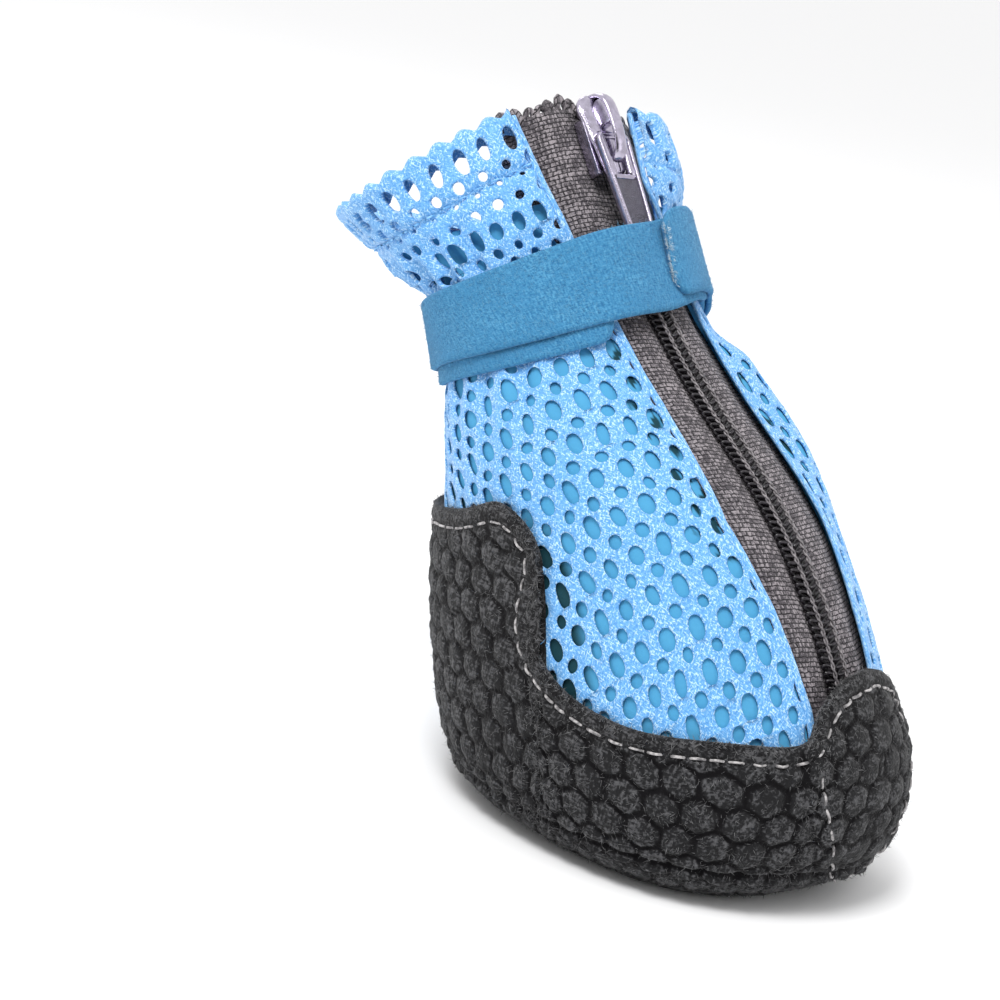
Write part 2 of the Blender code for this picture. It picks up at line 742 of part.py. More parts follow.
def strap_middle(turn):
    """The ring of the strap's middle line at a turn."""
    folded = (turn + 180.0) % 360.0 - 180.0
    return float(np.interp(folded, [row.turn for row in STRAP_LINE], [row.ring for row in STRAP_LINE]))


def strap_half_width(path):
    """Half the strap's width at a place on its path, less where its corners are round."""
    round_turn = math.degrees(STRAP_CORNER / (BALL_WIDTH * 0.40))
    into = min(path - STRAP_START_TURN, STRAP_END_TURN - path) / round_turn
    if into >= 1.0:
        return STRAP_WIDTH / 2.0
    return STRAP_WIDTH / 2.0 - STRAP_CORNER * (1.0 - math.sqrt(1.0 - (1.0 - into) ** 2))


def make_strap(material):
    """The strap, from its inner end on the -X side round to its free end on the front."""
    count = int((STRAP_END_TURN - STRAP_START_TURN) / STRAP_STEP)
    paths = list(np.linspace(STRAP_START_TURN, STRAP_END_TURN, count + 1))
    ends = [1.2, 3.4]
    paths += [STRAP_START_TURN + d for d in ends] + [STRAP_END_TURN - d for d in ends]
    layer = STRAP_THICKNESS + GAP
    outer, inner = [], []
    for path in sorted(paths):
        folded = (path + 180.0) % 360.0 - 180.0
        second = float(smooth((path - (STRAP_END_TURN - 360.0)) / 32.0))
        over_zip = 1.0 - float(smooth((abs(folded) - 12.0) / 48.0))
        shift = -UNDERLAYER_DROP * (1.0 - float(smooth((path - 110.0) / 150.0)))
        shift += FREE_END_RISE * float(smooth((path - STRAP_END_TURN + 60.0) / 50.0))
        half = strap_half_width(path)
        rows = [], []
        for across, lift in ((-1.0, STRAP_LIFT_FOOT), (1.0, STRAP_LIFT_TOP)):
            ring = meridian(strap_middle(path), folded, shift + across * half)
            outward = GAP + second * layer + over_zip * lift
            rows[0].append(surface(ring, folded, outward + STRAP_THICKNESS))
            rows[1].append(surface(ring, folded, outward))
        for row in rows:
            row.insert(1, (row[0] + row[1]) / 2.0)
        outer.append(rows[0])
        inner.append(rows[1])
    return new_object("strap", shell("strap", outer, inner, [False] * len(outer)), material)


def main():
    for old in list(bpy.data.objects):
        bpy.data.objects.remove(old, do_unlink=True)
    mesh_blue = finish("mesh_blue", (0.16, 0.43, 0.86), 0.75)
    sole_cloth = finish("sole_cloth", (0.045, 0.045, 0.050), 0.85)
    insole_cloth = finish("insole_cloth", (0.12, 0.12, 0.13), 0.9)
    tape_cloth = finish("tape_cloth", (0.075, 0.065, 0.070), 0.8)
    coil_black = finish("coil_black", (0.02, 0.02, 0.022), 0.45)
    dark_nickel = finish("dark_nickel", (0.42, 0.40, 0.47), 0.25, 1.0)
    strap_cloth = finish("strap_cloth", (0.07, 0.27, 0.52), 0.9)
    make_sole(sole_cloth)
    make_insole(insole_cloth)
    make_upper(mesh_blue)
    make_tape(1.0, "zip_tape_right", tape_cloth)
    make_tape(-1.0, "zip_tape_left", tape_cloth)
    make_chain(coil_black)
    make_slider(dark_nickel)
    make_pull(dark_nickel)
    make_strap(strap_cloth)


main()
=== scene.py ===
"""The looks of a dog boot: knitted air mesh, zip, padded cup sole and brushed ankle strap.

A place on the boot is a ring, which counts the rows of the last's sections from the sole
up to the rim, and a turn in degrees round that ring from the toe's middle, positive
towards -X. Lengths are in metres, and an outward distance is measured from the upper.
"""

from __future__ import annotations

import json
import logging
import math
from dataclasses import dataclass, field
from enum import Enum
from typing import Sequence, Union

import bpy
import numpy as np
from mathutils import Matrix, Vector

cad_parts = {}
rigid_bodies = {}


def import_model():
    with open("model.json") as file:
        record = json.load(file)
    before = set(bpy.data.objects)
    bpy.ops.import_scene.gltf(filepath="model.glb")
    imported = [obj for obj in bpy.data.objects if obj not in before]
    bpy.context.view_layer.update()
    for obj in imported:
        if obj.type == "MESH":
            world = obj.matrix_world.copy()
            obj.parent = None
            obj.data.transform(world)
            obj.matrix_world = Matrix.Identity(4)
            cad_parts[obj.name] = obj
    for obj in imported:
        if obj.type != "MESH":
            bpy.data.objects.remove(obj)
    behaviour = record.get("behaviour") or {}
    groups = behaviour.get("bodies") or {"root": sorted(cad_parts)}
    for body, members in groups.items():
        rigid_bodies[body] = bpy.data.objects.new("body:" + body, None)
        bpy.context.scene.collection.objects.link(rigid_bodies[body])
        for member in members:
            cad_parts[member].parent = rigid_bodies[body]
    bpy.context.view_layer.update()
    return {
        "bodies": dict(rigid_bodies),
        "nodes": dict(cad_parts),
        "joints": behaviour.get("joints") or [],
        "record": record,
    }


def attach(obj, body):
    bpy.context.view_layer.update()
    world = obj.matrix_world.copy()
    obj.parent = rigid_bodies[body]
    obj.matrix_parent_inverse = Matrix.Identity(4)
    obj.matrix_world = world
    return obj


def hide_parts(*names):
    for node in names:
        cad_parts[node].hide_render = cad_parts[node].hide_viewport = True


LOG = logging.getLogger("dog_boot")
MM = 0.001
CLOTH_UNIT = 10.0 * MM
Number = Union[float, "Field"]
Color = tuple[float, float, float]


def smooth(share: np.ndarray | float) -> np.ndarray:
    """A soft step from 0 to 1."""
    share = np.clip(share, 0.0, 1.0)
    return share * share * (3.0 - 2.0 * share)


def wobble(a: np.ndarray, b: np.ndarray, wave: float, phase: float) -> np.ndarray:
    """A soft irregular wave over two lengths, between about -1 and 1.

    Args:
        a: The first length.
        b: The second length.
        wave: The length of its longest ripple.
        phase: A shift that makes two wobbles differ.

    Returns:
        Its value at each place.
    """
    x, y = a / wave, b / wave
    first = np.sin(2.1 * x + 1.3 * y + phase) * np.cos(1.7 * y - 0.9 * x + 2.0 * phase)
    second = np.sin(4.3 * x - 3.1 * y + 3.0 * phase) * np.cos(3.7 * y + 2.9 * x + phase)
    return 0.65 * first + 0.35 * second


def step(value: np.ndarray | float, start: float, length: float) -> np.ndarray:
    """A soft step from 0 at the start to 1 a length after it."""
    return smooth((value - start) / length)


def bell(value: np.ndarray | float, middle: float, width: float) -> np.ndarray:
    """A soft bump that is 1 at its middle."""
    return np.exp(-(((value - middle) / width) ** 2))


def unit(vectors: np.ndarray) -> np.ndarray:
    """Vectors scaled to a length of 1."""
    return vectors / np.maximum(np.linalg.norm(vectors, axis=-1, keepdims=True), 1e-12)


def reach_along(path: np.ndarray) -> np.ndarray:
    """How far along a path each of its points lies."""
    return np.concatenate([[0.0], np.cumsum(np.linalg.norm(np.diff(path, axis=0), axis=1))])


def bilinear(table: np.ndarray, row: np.ndarray, column: np.ndarray) -> np.ndarray:
    """A table's values between its rows and columns, given as places counted in cells."""
    row = np.clip(row, 0.0, table.shape[0] - 1.001)
    column = np.clip(column, 0.0, table.shape[1] - 1.001)
    j, k = row.astype(int), column.astype(int)
    fj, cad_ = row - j, column - k
    low = table[j, k] * (1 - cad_) + table[j, k + 1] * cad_
    high = table[j + 1, k] * (1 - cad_) + table[j + 1, k + 1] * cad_
    return low * (1 - fj) + high * fj


class Spline:
    """A natural cubic spline through rows of values that are one step apart."""

    def __init__(self, rows: Sequence[Sequence[float]]) -> None:
        """Work out the bends between the rows."""
        self.rows = np.array(rows, float)
        count = len(self.rows)
        matrix = np.eye(count)
        bend = np.zeros_like(self.rows)
        for i in range(1, count - 1):
            matrix[i, i - 1 : i + 2] = 1.0, 4.0, 1.0
            bend[i] = 6.0 * (self.rows[i - 1] - 2.0 * self.rows[i] + self.rows[i + 1])
        self.bends = np.linalg.solve(matrix, bend)

    def at(self, place: np.ndarray) -> np.ndarray:
        """The rows' values at each place, with straight ends beyond the first and last."""
        place = np.asarray(place, float)
        low = np.clip(np.floor(place), 0, len(self.rows) - 2).astype(int)
        after = (place - low)[..., None]
        before = 1.0 - after
        inside = ((after >= 0.0) & (after <= 1.0)).astype(float)
        curve = (before**3 - before) * self.bends[low] + (after**3 - after) * self.bends[low + 1]
        return before * self.rows[low] + after * self.rows[low + 1] + inside * curve / 6.0


@dataclass
class Last:
    """The form that the upper, the rand and the strap follow."""

    length: float = 90.0 * MM
    width: float = 68.0 * MM
    height: float = 120.4 * MM
    sole_top: float = 2.6 * MM
    toe_spring: float = 1.5 * MM
    toe_break: float = -24.0 * MM
    lean_over: float = 5.2 * MM
    sections: tuple[tuple[float, ...], ...] = (
        (-0.411, 0.000, 0.305, 0.000, 0.765, 2.30, 0.08, 0.000),
        (-0.489, 0.045, 0.389, 0.037, 0.941, 2.30, 0.06, 0.000),
        (-0.517, 0.145, 0.478, 0.145, 1.000, 2.20, 0.05, 0.000),
        (-0.456, 0.269, 0.539, 0.269, 0.985, 2.15, 0.03, 0.000),
        (-0.344, 0.394, 0.568, 0.385, 0.956, 2.15, 0.02, 0.000),
        (-0.178, 0.518, 0.584, 0.476, 0.926, 2.20, 0.00, 0.000),
        (0.022, 0.622, 0.600, 0.541, 0.852, 2.20, 0.00, 0.000),
        (0.189, 0.722, 0.667, 0.645, 0.750, 2.10, 0.00, 0.008),
        (0.338, 0.836, 0.803, 0.672, 0.812, 2.05, 0.00, 0.029),
        (0.512, 0.994, 0.989, 0.726, 0.941, 2.00, 0.00, 0.058),
    )
    throat_rings: tuple[float, ...] = (2.0, 3.0, 4.0, 4.8, 6.0, 7.0, 8.0, 9.0, 9.4)
    throat_shares: tuple[float, ...] = (0.140, 0.141, 0.169, 0.204, 0.183, 0.180, 0.203, 0.250, 0.262)
    strap_turns: tuple[float, ...] = (-180.0, -130.0, -90.0, -50.0, -20.0, 0.0, 50.0, 90.0, 130.0, 180.0)
    strap_rings: tuple[float, ...] = (6.60, 6.85, 7.40, 7.75, 7.62, 7.48, 7.23, 6.96, 6.72, 6.60)

    def __post_init__(self) -> None:
        """Fit the spline, and find the y that stands in the middle of the boot's box."""
        self.spline = Spline(self.sections)
        toe = self.points(np.linspace(1.0, 2.5, 16), 0.0)[:, 1].min() - 2.1 * MM
        rim = self.points(np.array([9.0]), 180.0) + self.normals(np.array([9.0]), 180.0) * 0.8 * MM
        self.middle_y = float((toe + rim[0, 1]) / 2.0)

    def lift(self, y: np.ndarray) -> np.ndarray:
        """How far the toe spring lifts what is at y on the last."""
        tip = self.sections[2][0] * self.length
        share = np.clip((self.toe_break - y) / (self.toe_break - tip), 0.0, 1.2)
        return self.toe_spring * share * share

    def points(self, ring: np.ndarray, turn: np.ndarray) -> np.ndarray:
        """Points of the upper's outer face, before the origin is moved."""
        ring, turn = np.broadcast_arrays(np.asarray(ring, float), np.asarray(turn, float))
        row = self.spline.at(ring)
        fy, fz, by, bz, wide, square, forward, droop = np.moveaxis(row, -1, 0)
        angle = np.radians(turn)
        cosine, sine = np.cos(angle), np.sin(angle)
        along = np.sign(cosine) * np.abs(cosine) ** (2.0 / square)
        across = np.sign(sine) * np.abs(sine) ** (2.0 / square)
        along = along + forward * (1.0 - along * along)
        front = np.stack([fy * self.length, self.sole_top + fz * self.height], -1)
        back = np.stack([by * self.length, self.sole_top + bz * self.height], -1)
        spine = (front - back) / 2.0
        up = unit(np.stack([spine[..., 1], -spine[..., 0]], -1))
        place = (front + back) / 2.0 + spine * along[..., None]
        place = place - up * (droop * self.height * sine**2)[..., None]
        z = place[..., 1] + self.lift(place[..., 0])
        return np.stack([-across * wide * self.width / 2.0, place[..., 0], z], -1)

    def normals(self, ring: np.ndarray, turn: np.ndarray) -> np.ndarray:
        """The outward directions at points of the upper's outer face."""
        up = self.points(ring + 0.01, turn) - self.points(ring - 0.01, turn)
        turn = np.asarray(turn, float)
        around = self.points(ring, turn + 0.5) - self.points(ring, turn - 0.5)
        return unit(np.cross(up, around))

    def surface(self, ring: np.ndarray, turn: np.ndarray, outward: np.ndarray | float = 0.0) -> np.ndarray:
        """Points at a distance outward from the upper's outer face, in the boot's frame."""
        outward = np.asarray(outward, float)[..., None]
        place = self.points(ring, turn) + self.normals(ring, turn) * outward
        return place - np.array([0.0, self.middle_y, 0.0])

    @staticmethod
    def swell(ring: np.ndarray, turn: np.ndarray) -> np.ndarray:
        """How far the slack mesh of the +X side puffs out above and below the strap."""
        away = -turn
        below = step(ring, 4.2, 1.6) * (1.0 - step(ring, 6.35, 0.55)) * step(away, 25.0, 20.0)
        below = below * (1.0 - step(away, 85.0, 40.0))
        above = step(ring, 8.05, 0.5) * step(away, 15.0, 22.0) * (1.0 - step(away, 80.0, 45.0))
        return (2.9 * below + 4.2 * above) * MM

    def draped(self, ring: np.ndarray, turn: np.ndarray, outward: np.ndarray | float = 0.0) -> np.ndarray:
        """Points at a distance outward from the upper where its cloth is slack."""
        ring, turn = np.broadcast_arrays(np.asarray(ring, float), np.asarray(turn, float))
        return self.surface(ring, turn, self.swell(ring, turn) + outward)

    def slid(
        self, ring: np.ndarray, turn: np.ndarray, outward: float, move: np.ndarray
    ) -> tuple[np.ndarray, np.ndarray]:
        """The rings and turns reached by moving along the surface.

        Args:
            ring: The rings to start from.
            turn: The turns to start from.
            outward: The distance of the surface from the upper.
            move: The way to go from each place, in the boot's frame.

        Returns:
            The rings and turns at its end.
        """
        for _ in range(3):
            up = (self.surface(ring + 0.01, turn, outward) - self.surface(ring - 0.01, turn, outward)) / 0.02
            side = self.surface(ring, turn + 0.5, outward) - self.surface(ring, turn - 0.5, outward)
            uu, us, ss = np.sum(up * up, -1), np.sum(up * side, -1), np.sum(side * side, -1)
            mu, ms = np.sum(up * move, -1) / 3.0, np.sum(side * move, -1) / 3.0
            area = np.maximum(uu * ss - us * us, 1e-18)
            ring = ring + (ss * mu - us * ms) / area
            turn = turn + (uu * ms - us * mu) / area
        return ring, turn

    def throat(self, ring: np.ndarray) -> np.ndarray:
        """Half the width of the zip's opening."""
        return self.width * np.interp(ring, self.throat_rings, self.throat_shares)

    def front(self, ring: np.ndarray, side: float) -> np.ndarray:
        """How far from the zip's middle a side's mesh starts, nearer on +X, where it leans over its tape."""
        over = self.lean_over * step(np.asarray(ring), 7.9, 0.6) if side < 0.0 else 0.0
        return self.throat(ring) - over

    def turn_at(self, ring: np.ndarray, lateral: np.ndarray) -> np.ndarray:
        """The turn at which a ring's front is a distance towards -X from the middle."""
        row = self.spline.at(ring)
        share = np.minimum(np.abs(lateral) / (row[..., 4] * self.width / 2.0), 0.999)
        return np.sign(lateral) * np.degrees(np.arcsin(share ** (row[..., 5] / 2.0)))

    def climb(self, ring: np.ndarray, turn: np.ndarray, distance: np.ndarray) -> np.ndarray:
        """The rings reached by going a distance up the upper at fixed turns."""
        ring = np.array(ring, float)
        for _ in range(8):
            step = self.points(ring + 0.01, turn) - self.points(ring - 0.01, turn)
            ring = ring + distance / 8.0 / (np.linalg.norm(step, axis=-1) / 0.02)
        return ring


class Field:
    """A number that varies over a surface, made of shader nodes, with arithmetic."""

    def __init__(self, shader: "Shader", socket: bpy.types.NodeSocket) -> None:
        """Wrap an output socket."""
        self.shader = shader
        self.socket = socket

    def __add__(self, other: Number) -> "Field":
        """The sum."""
        return self.shader.math("ADD", self, other)

    def __sub__(self, other: Number) -> "Field":
        """The difference."""
        return self.shader.math("SUBTRACT", self, other)

    def __mul__(self, other: Number) -> "Field":
        """The product."""
        return self.shader.math("MULTIPLY", self, other)

    def __rsub__(self, other: Number) -> "Field":
        """A number less this one."""
        return self.shader.math("SUBTRACT", other, self)

    __radd__ = __add__
    __rmul__ = __mul__


class Space(Enum):
    """Where a shader takes its coordinates from."""

    BODY = "Object"
    CLOTH = "UV"


class Shader:
    """One material and the nodes that feed its Principled shader."""

    def __init__(
        self, name: str, roughness: float, metallic: float = 0.0, sheen: float = 0.0, gloss: float = 0.5
    ) -> None:
        """Make the material with its fixed values."""
        self.material = bpy.data.materials.new(name)
        self.material.use_nodes = True
        self.tree = self.material.node_tree
        self.surface = self.tree.nodes["Principled BSDF"]
        self.surface.inputs["Roughness"].default_value = roughness
        self.surface.inputs["Metallic"].default_value = metallic
        self.surface.inputs["Specular IOR Level"].default_value = gloss
        self.surface.inputs["Sheen Weight"].default_value = sheen
        self.surface.inputs["Sheen Roughness"].default_value = 0.5

    def node(self, kind: str, settings: dict[str, object], values: dict[str | int, object]) -> bpy.types.Node:
        """Add a node.

        Args:
            kind: The node's type.
            settings: What is set on the node itself, first.
            values: The number, colour or link of each socket.

        Returns:
            The node.
        """
        made = self.tree.nodes.new(kind)
        for name, value in settings.items():
            setattr(made, name, value)
        for key, value in values.items():
            socket = made.inputs[key]
            if isinstance(value, Field):
                self.tree.links.new(value.socket, socket)
            elif isinstance(value, bpy.types.NodeSocket):
                self.tree.links.new(value, socket)
            else:
                socket.default_value = value
        return made

    def math(self, operation: str, *values: Number) -> Field:
        """One Math node on values or fields."""
        made = self.node("ShaderNodeMath", {"operation": operation}, dict(enumerate(values)))
        return Field(self, made.outputs[0])

    def place(self, space: Space, scale: Color = (1.0, 1.0, 1.0), turn: float = 0.0) -> bpy.types.NodeSocket:
        """Coordinates, turned in their plane and then stretched along each axis."""
        source = self.node("ShaderNodeTexCoord", {}, {}).outputs[space.value]
        values = {"Vector": source, "Rotation": (0.0, 0.0, turn)}
        turned = self.node("ShaderNodeMapping", {}, values).outputs[0]
        return self.node("ShaderNodeMapping", {}, {"Vector": turned, "Scale": scale}).outputs[0]

    def noise(self, where: bpy.types.NodeSocket, scale: float, detail: float = 2.0) -> Field:
        """Soft noise between 0 and 1."""
        made = self.node("ShaderNodeTexNoise", {}, {"Vector": where, "Scale": scale, "Detail": detail})
        return Field(self, made.outputs["Fac"])

    def bricks(self, where: bpy.types.NodeSocket, wide: float, high: float, gap: float) -> Field:
        """Staggered bricks: 1 on each, 0 between them."""
        values = {"Vector": where, "Scale": 1.0, "Brick Width": wide, "Row Height": high, "Mortar Size": gap}
        made = self.node("ShaderNodeTexBrick", {"offset": 0.5}, {**values, "Mortar Smooth": 1.0})
        return 1.0 - Field(self, made.outputs["Fac"])

    def bend(self, where: bpy.types.NodeSocket, scale: float, amount: float) -> bpy.types.NodeSocket:
        """Coordinates shaken by soft noise."""
        drift = self.node("ShaderNodeTexNoise", {}, {"Vector": where, "Scale": scale}).outputs["Color"]
        centred = self.node("ShaderNodeVectorMath", {"operation": "SUBTRACT"}, {0: drift, 1: (0.5, 0.5, 0.5)})
        values = {0: centred.outputs[0], 1: (amount, amount, amount), 2: where}
        return self.node("ShaderNodeVectorMath", {"operation": "MULTIPLY_ADD"}, values).outputs[0]

    def waves(self, where: bpy.types.NodeSocket, direction: str, scale: float, warp: float) -> Field:
        """Parallel ribs between 0 and 1."""
        values = {"Vector": where, "Scale": scale, "Distortion": warp, "Detail": 1.0}
        made = self.node("ShaderNodeTexWave", {"bands_direction": direction}, values)
        return Field(self, made.outputs["Fac"])

    def attribute(self, name: str) -> Field:
        """A value that is kept on the mesh's points."""
        made = self.node("ShaderNodeAttribute", {"attribute_name": name}, {})
        return Field(self, made.outputs["Fac"])

    def remap(self, value: Field, low: float, high: float) -> Field:
        """0 at the low value, 1 at the high one, smooth between."""
        values = {"Value": value, "From Min": low, "From Max": high}
        made = self.node("ShaderNodeMapRange", {"interpolation_type": "SMOOTHSTEP"}, values)
        return Field(self, made.outputs["Result"])

    def mix(self, share: Field, first: object, second: object) -> bpy.types.NodeSocket:
        """A colour between two others."""
        made = self.node("ShaderNodeMix", {"data_type": "RGBA"}, {"Factor": share})
        for key, value in ((6, first), (7, second)):
            if isinstance(value, bpy.types.NodeSocket):
                self.tree.links.new(value, made.inputs[key])
            else:
                made.inputs[key].default_value = (*value, 1.0)
        return made.outputs[2]

    def color(self, value: object) -> None:
        """Set the base colour, fixed or linked."""
        socket = self.surface.inputs["Base Color"]
        if isinstance(value, bpy.types.NodeSocket):
            self.tree.links.new(value, socket)
        else:
            socket.default_value = (*value, 1.0)

    def roughness(self, value: Field) -> None:
        """Link the roughness."""
        self.tree.links.new(value.socket, self.surface.inputs["Roughness"])

    def bump(self, height: Field, depth: float) -> None:
        """Raise and sink the surface by a height between 0 and 1."""
        made = self.node("ShaderNodeBump", {}, {"Height": height, "Distance": depth, "Strength": 1.0})
        self.tree.links.new(made.outputs[0], self.surface.inputs["Normal"])


@dataclass(frozen=True)
class MeshYarn:
    """Light blue knitted yarn with painted highlights: pale glints on its stitches, a little more often at
    the holes' rims.
    """

    name: str = "mesh_yarn"
    deep: Color = (0.080, 0.300, 0.680)
    body: Color = (0.150, 0.430, 0.810)
    # glint: the colour of the painted highlights on the stitches.
    glint: Color = (0.500, 0.740, 0.960)
    lean: float = 0.62

    def make(self) -> bpy.types.Material:
        """Build the material."""
        shader = Shader(self.name, 0.6, sheen=0.2)
        left = shader.noise(shader.place(Space.CLOTH, (1.0, 0.30, 1.0), self.lean), 40.0, 1.5)
        right = shader.noise(shader.place(Space.CLOTH, (1.0, 0.30, 1.0), -self.lean), 40.0, 1.5)
        stitches = shader.math("MAXIMUM", left, right)
        fine = shader.noise(shader.place(Space.BODY), 2600.0, 2.0)
        broad = shader.noise(shader.place(Space.BODY), 150.0)
        tone = shader.mix(shader.remap(stitches * 0.7 + fine * 0.3, 0.42, 0.60), self.deep, self.body)
        rim = shader.attribute("rim")
        # Painted highlights: pale glints fall on the stitch crests, a little more often at the holes' rims,
        # in place of light on the yarn.
        painted_glints = shader.remap(stitches + (fine - 0.5) * 0.25 + (broad - 0.5) * 0.12 + rim * 0.06, 0.57, 0.70)
        shader.color(shader.mix(painted_glints * 0.95, tone, self.glint))
        shader.bump(stitches * 0.8 + fine * 0.2, 0.34 * MM)
        return shader.material


@dataclass(frozen=True)
class LiningCloth:
    """The smooth cloth behind the mesh, darkened to a dark teal by painted shade near the sole, low at the
    heel and in patches beside the zip.
    """

    name: str = "lining_cloth"
    body: Color = (0.066, 0.310, 0.545)
    pale: Color = (0.092, 0.385, 0.625)
    # shade: the dark teal of the painted shade.
    shade: Color = (0.006, 0.045, 0.060)

    def make(self) -> bpy.types.Material:
        """Build the material."""
        shader = Shader(self.name, 0.8, gloss=0.25)
        place = shader.place(Space.BODY)
        mottle = shader.noise(place, 90.0)
        weave = shader.noise(place, 1500.0, 2.0)
        # Painted shade: the shade value, broken up by mottle, darkens the lining towards the shade colour.
        edge = shader.remap(shader.attribute("shade") + (mottle - 0.5) * 0.5, 0.25, 0.8)
        body = shader.mix(weave * 0.25 + mottle * 0.3, self.body, self.pale)
        shader.color(shader.mix(edge, body, self.shade))
        shader.bump(weave, 0.08 * MM)
        return shader.material


@dataclass(frozen=True)
class SoleCloth:
    """Charcoal brushed cloth, pressed into pads, with painted shade, a plum-dark colour, in its grooves, seam
    and creases.
    """

    name: str = "sole_cloth"
    # groove: the plum-dark colour of the painted shade in the grooves, seam and creases.
    groove: Color = (0.0022, 0.0018, 0.0026)
    body: Color = (0.011, 0.011, 0.012)
    hair: Color = (0.088, 0.088, 0.093)

    def make(self) -> bpy.types.Material:
        """Build the material."""
        shader = Shader(self.name, 0.9, sheen=0.12, gloss=0.12)
        hairs_a = shader.noise(shader.place(Space.BODY, (1.0, 0.22, 1.0)), 2300.0, 3.0)
        hairs_b = shader.noise(shader.place(Space.BODY, (0.3, 1.0, 0.45)), 1900.0, 3.0)
        broad = shader.noise(shader.place(Space.BODY), 160.0, 3.0)
        nap = hairs_a * 0.5 + hairs_b * 0.5
        pad = shader.attribute("pad")
        body = shader.mix(shader.remap(nap + (broad - 0.5) * 0.25, 0.46, 0.66), self.body, self.hair)
        # Painted shade: where the pad value is low, in the grooves, seam and creases, the cloth turns to the
        # groove colour.
        raised = shader.remap(pad + (broad - 0.5) * 0.3 + (nap - 0.5) * 0.5, 0.25, 0.85)
        shader.color(shader.mix(raised, self.groove, body))
        shader.bump(nap, 0.45 * MM)
        return shader.material


@dataclass(frozen=True)
class TapeWeave:
    """Dark plum-grey woven tape with lighter picks across it."""

    name: str = "tape_weave"
    warp: Color = (0.018, 0.015, 0.019)
    body: Color = (0.060, 0.052, 0.060)
    pick: Color = (0.320, 0.288, 0.306)
    pick_length: float = 1.75 * MM
    pick_height: float = 0.86 * MM
    pick_gap: float = 0.15 * MM

    def make(self) -> bpy.types.Material:
        """Build the material."""
        shader = Shader(self.name, 0.68, sheen=0.1, gloss=0.3)
        cloth = shader.bend(shader.place(Space.CLOTH), 14.0, 0.06)
        sizes = (self.pick_length, self.pick_height, self.pick_gap)
        picks = shader.bricks(cloth, *(size / CLOTH_UNIT for size in sizes))
        ribs = shader.waves(cloth, "X", 3.3, 1.2)
        fine = shader.noise(shader.place(Space.CLOTH, (1.0, 0.45, 1.0)), 30.0, 2.0)
        broad = shader.noise(shader.place(Space.BODY), 500.0, 2.0)
        low = shader.mix(shader.remap(picks + (fine - 0.5) * 0.5, 0.3, 0.9), self.warp, self.body)
        light = shader.remap(picks * 0.45 + fine * 0.95 + (broad - 0.5) * 0.8 + ribs * 0.15, 0.84, 1.20)
        shader.color(shader.mix(light * 0.9, low, self.pick))
        shader.bump(picks * 0.6 + fine * 0.7, 0.36 * MM)
        return shader.material


@dataclass(frozen=True)
class StrapPile:
    """Blue loop cloth with a short brushed pile."""

    name: str = "strap_pile"
    deep: Color = (0.026, 0.140, 0.295)
    body: Color = (0.052, 0.222, 0.410)
    light: Color = (0.112, 0.345, 0.545)

    def make(self) -> bpy.types.Material:
        """Build the material."""
        shader = Shader(self.name, 0.95, sheen=0.08, gloss=0.15)
        nap_a = shader.noise(shader.place(Space.CLOTH, (1.0, 0.35, 1.0)), 26.0, 3.0)
        nap_b = shader.noise(shader.place(Space.CLOTH, (0.4, 1.0, 1.0)), 34.0, 3.0)
        broad = shader.noise(shader.place(Space.BODY), 120.0, 2.0)
        nap = nap_a * 0.55 + nap_b * 0.45
        low = shader.mix(shader.remap(nap, 0.33, 0.55), self.deep, self.body)
        shader.color(shader.mix(shader.remap(nap + (broad - 0.5) * 0.3, 0.50, 0.74), low, self.light))
        shader.bump(nap, 0.35 * MM)
        return shader.material


@dataclass(frozen=True)
class DarkNickel:
    """Bright plated metal with a violet cast, smooth or grained."""

    name: str = "dark_nickel"
    color: Color = (0.40, 0.37, 0.46)
    roughness: float = 0.14
    grain: float = 0.03

    def make(self) -> bpy.types.Material:
        """Build the material."""
        shader = Shader(self.name, self.roughness, metallic=1.0)
        place = shader.place(Space.BODY)
        wear = shader.noise(place, 700.0, 4.0)
        pits = shader.noise(place, 4200.0, 2.0)
        worn = tuple(min(1.0, part * 1.25) for part in self.color)
        shader.color(shader.mix(shader.remap(wear, 0.35, 0.7), self.color, worn))
        shader.roughness(wear * 0.14 + (self.roughness - 0.04))
        shader.bump(pits, self.grain * MM)
        return shader.material


@dataclass(frozen=True)
class PlainYarn:
    """Thread or moulded cord of one colour with a fine twist."""

    name: str
    color: Color
    shade: Color
    roughness: float = 0.6
    twist: float = 1400.0

    def make(self) -> bpy.types.Material:
        """Build the material."""
        shader = Shader(self.name, self.roughness)
        twist = shader.noise(shader.place(Space.BODY), self.twist, 2.0)
        shader.color(shader.mix(shader.remap(twist, 0.3, 0.7), self.shade, self.color))
        shader.bump(twist, 0.08 * MM)
        return shader.material


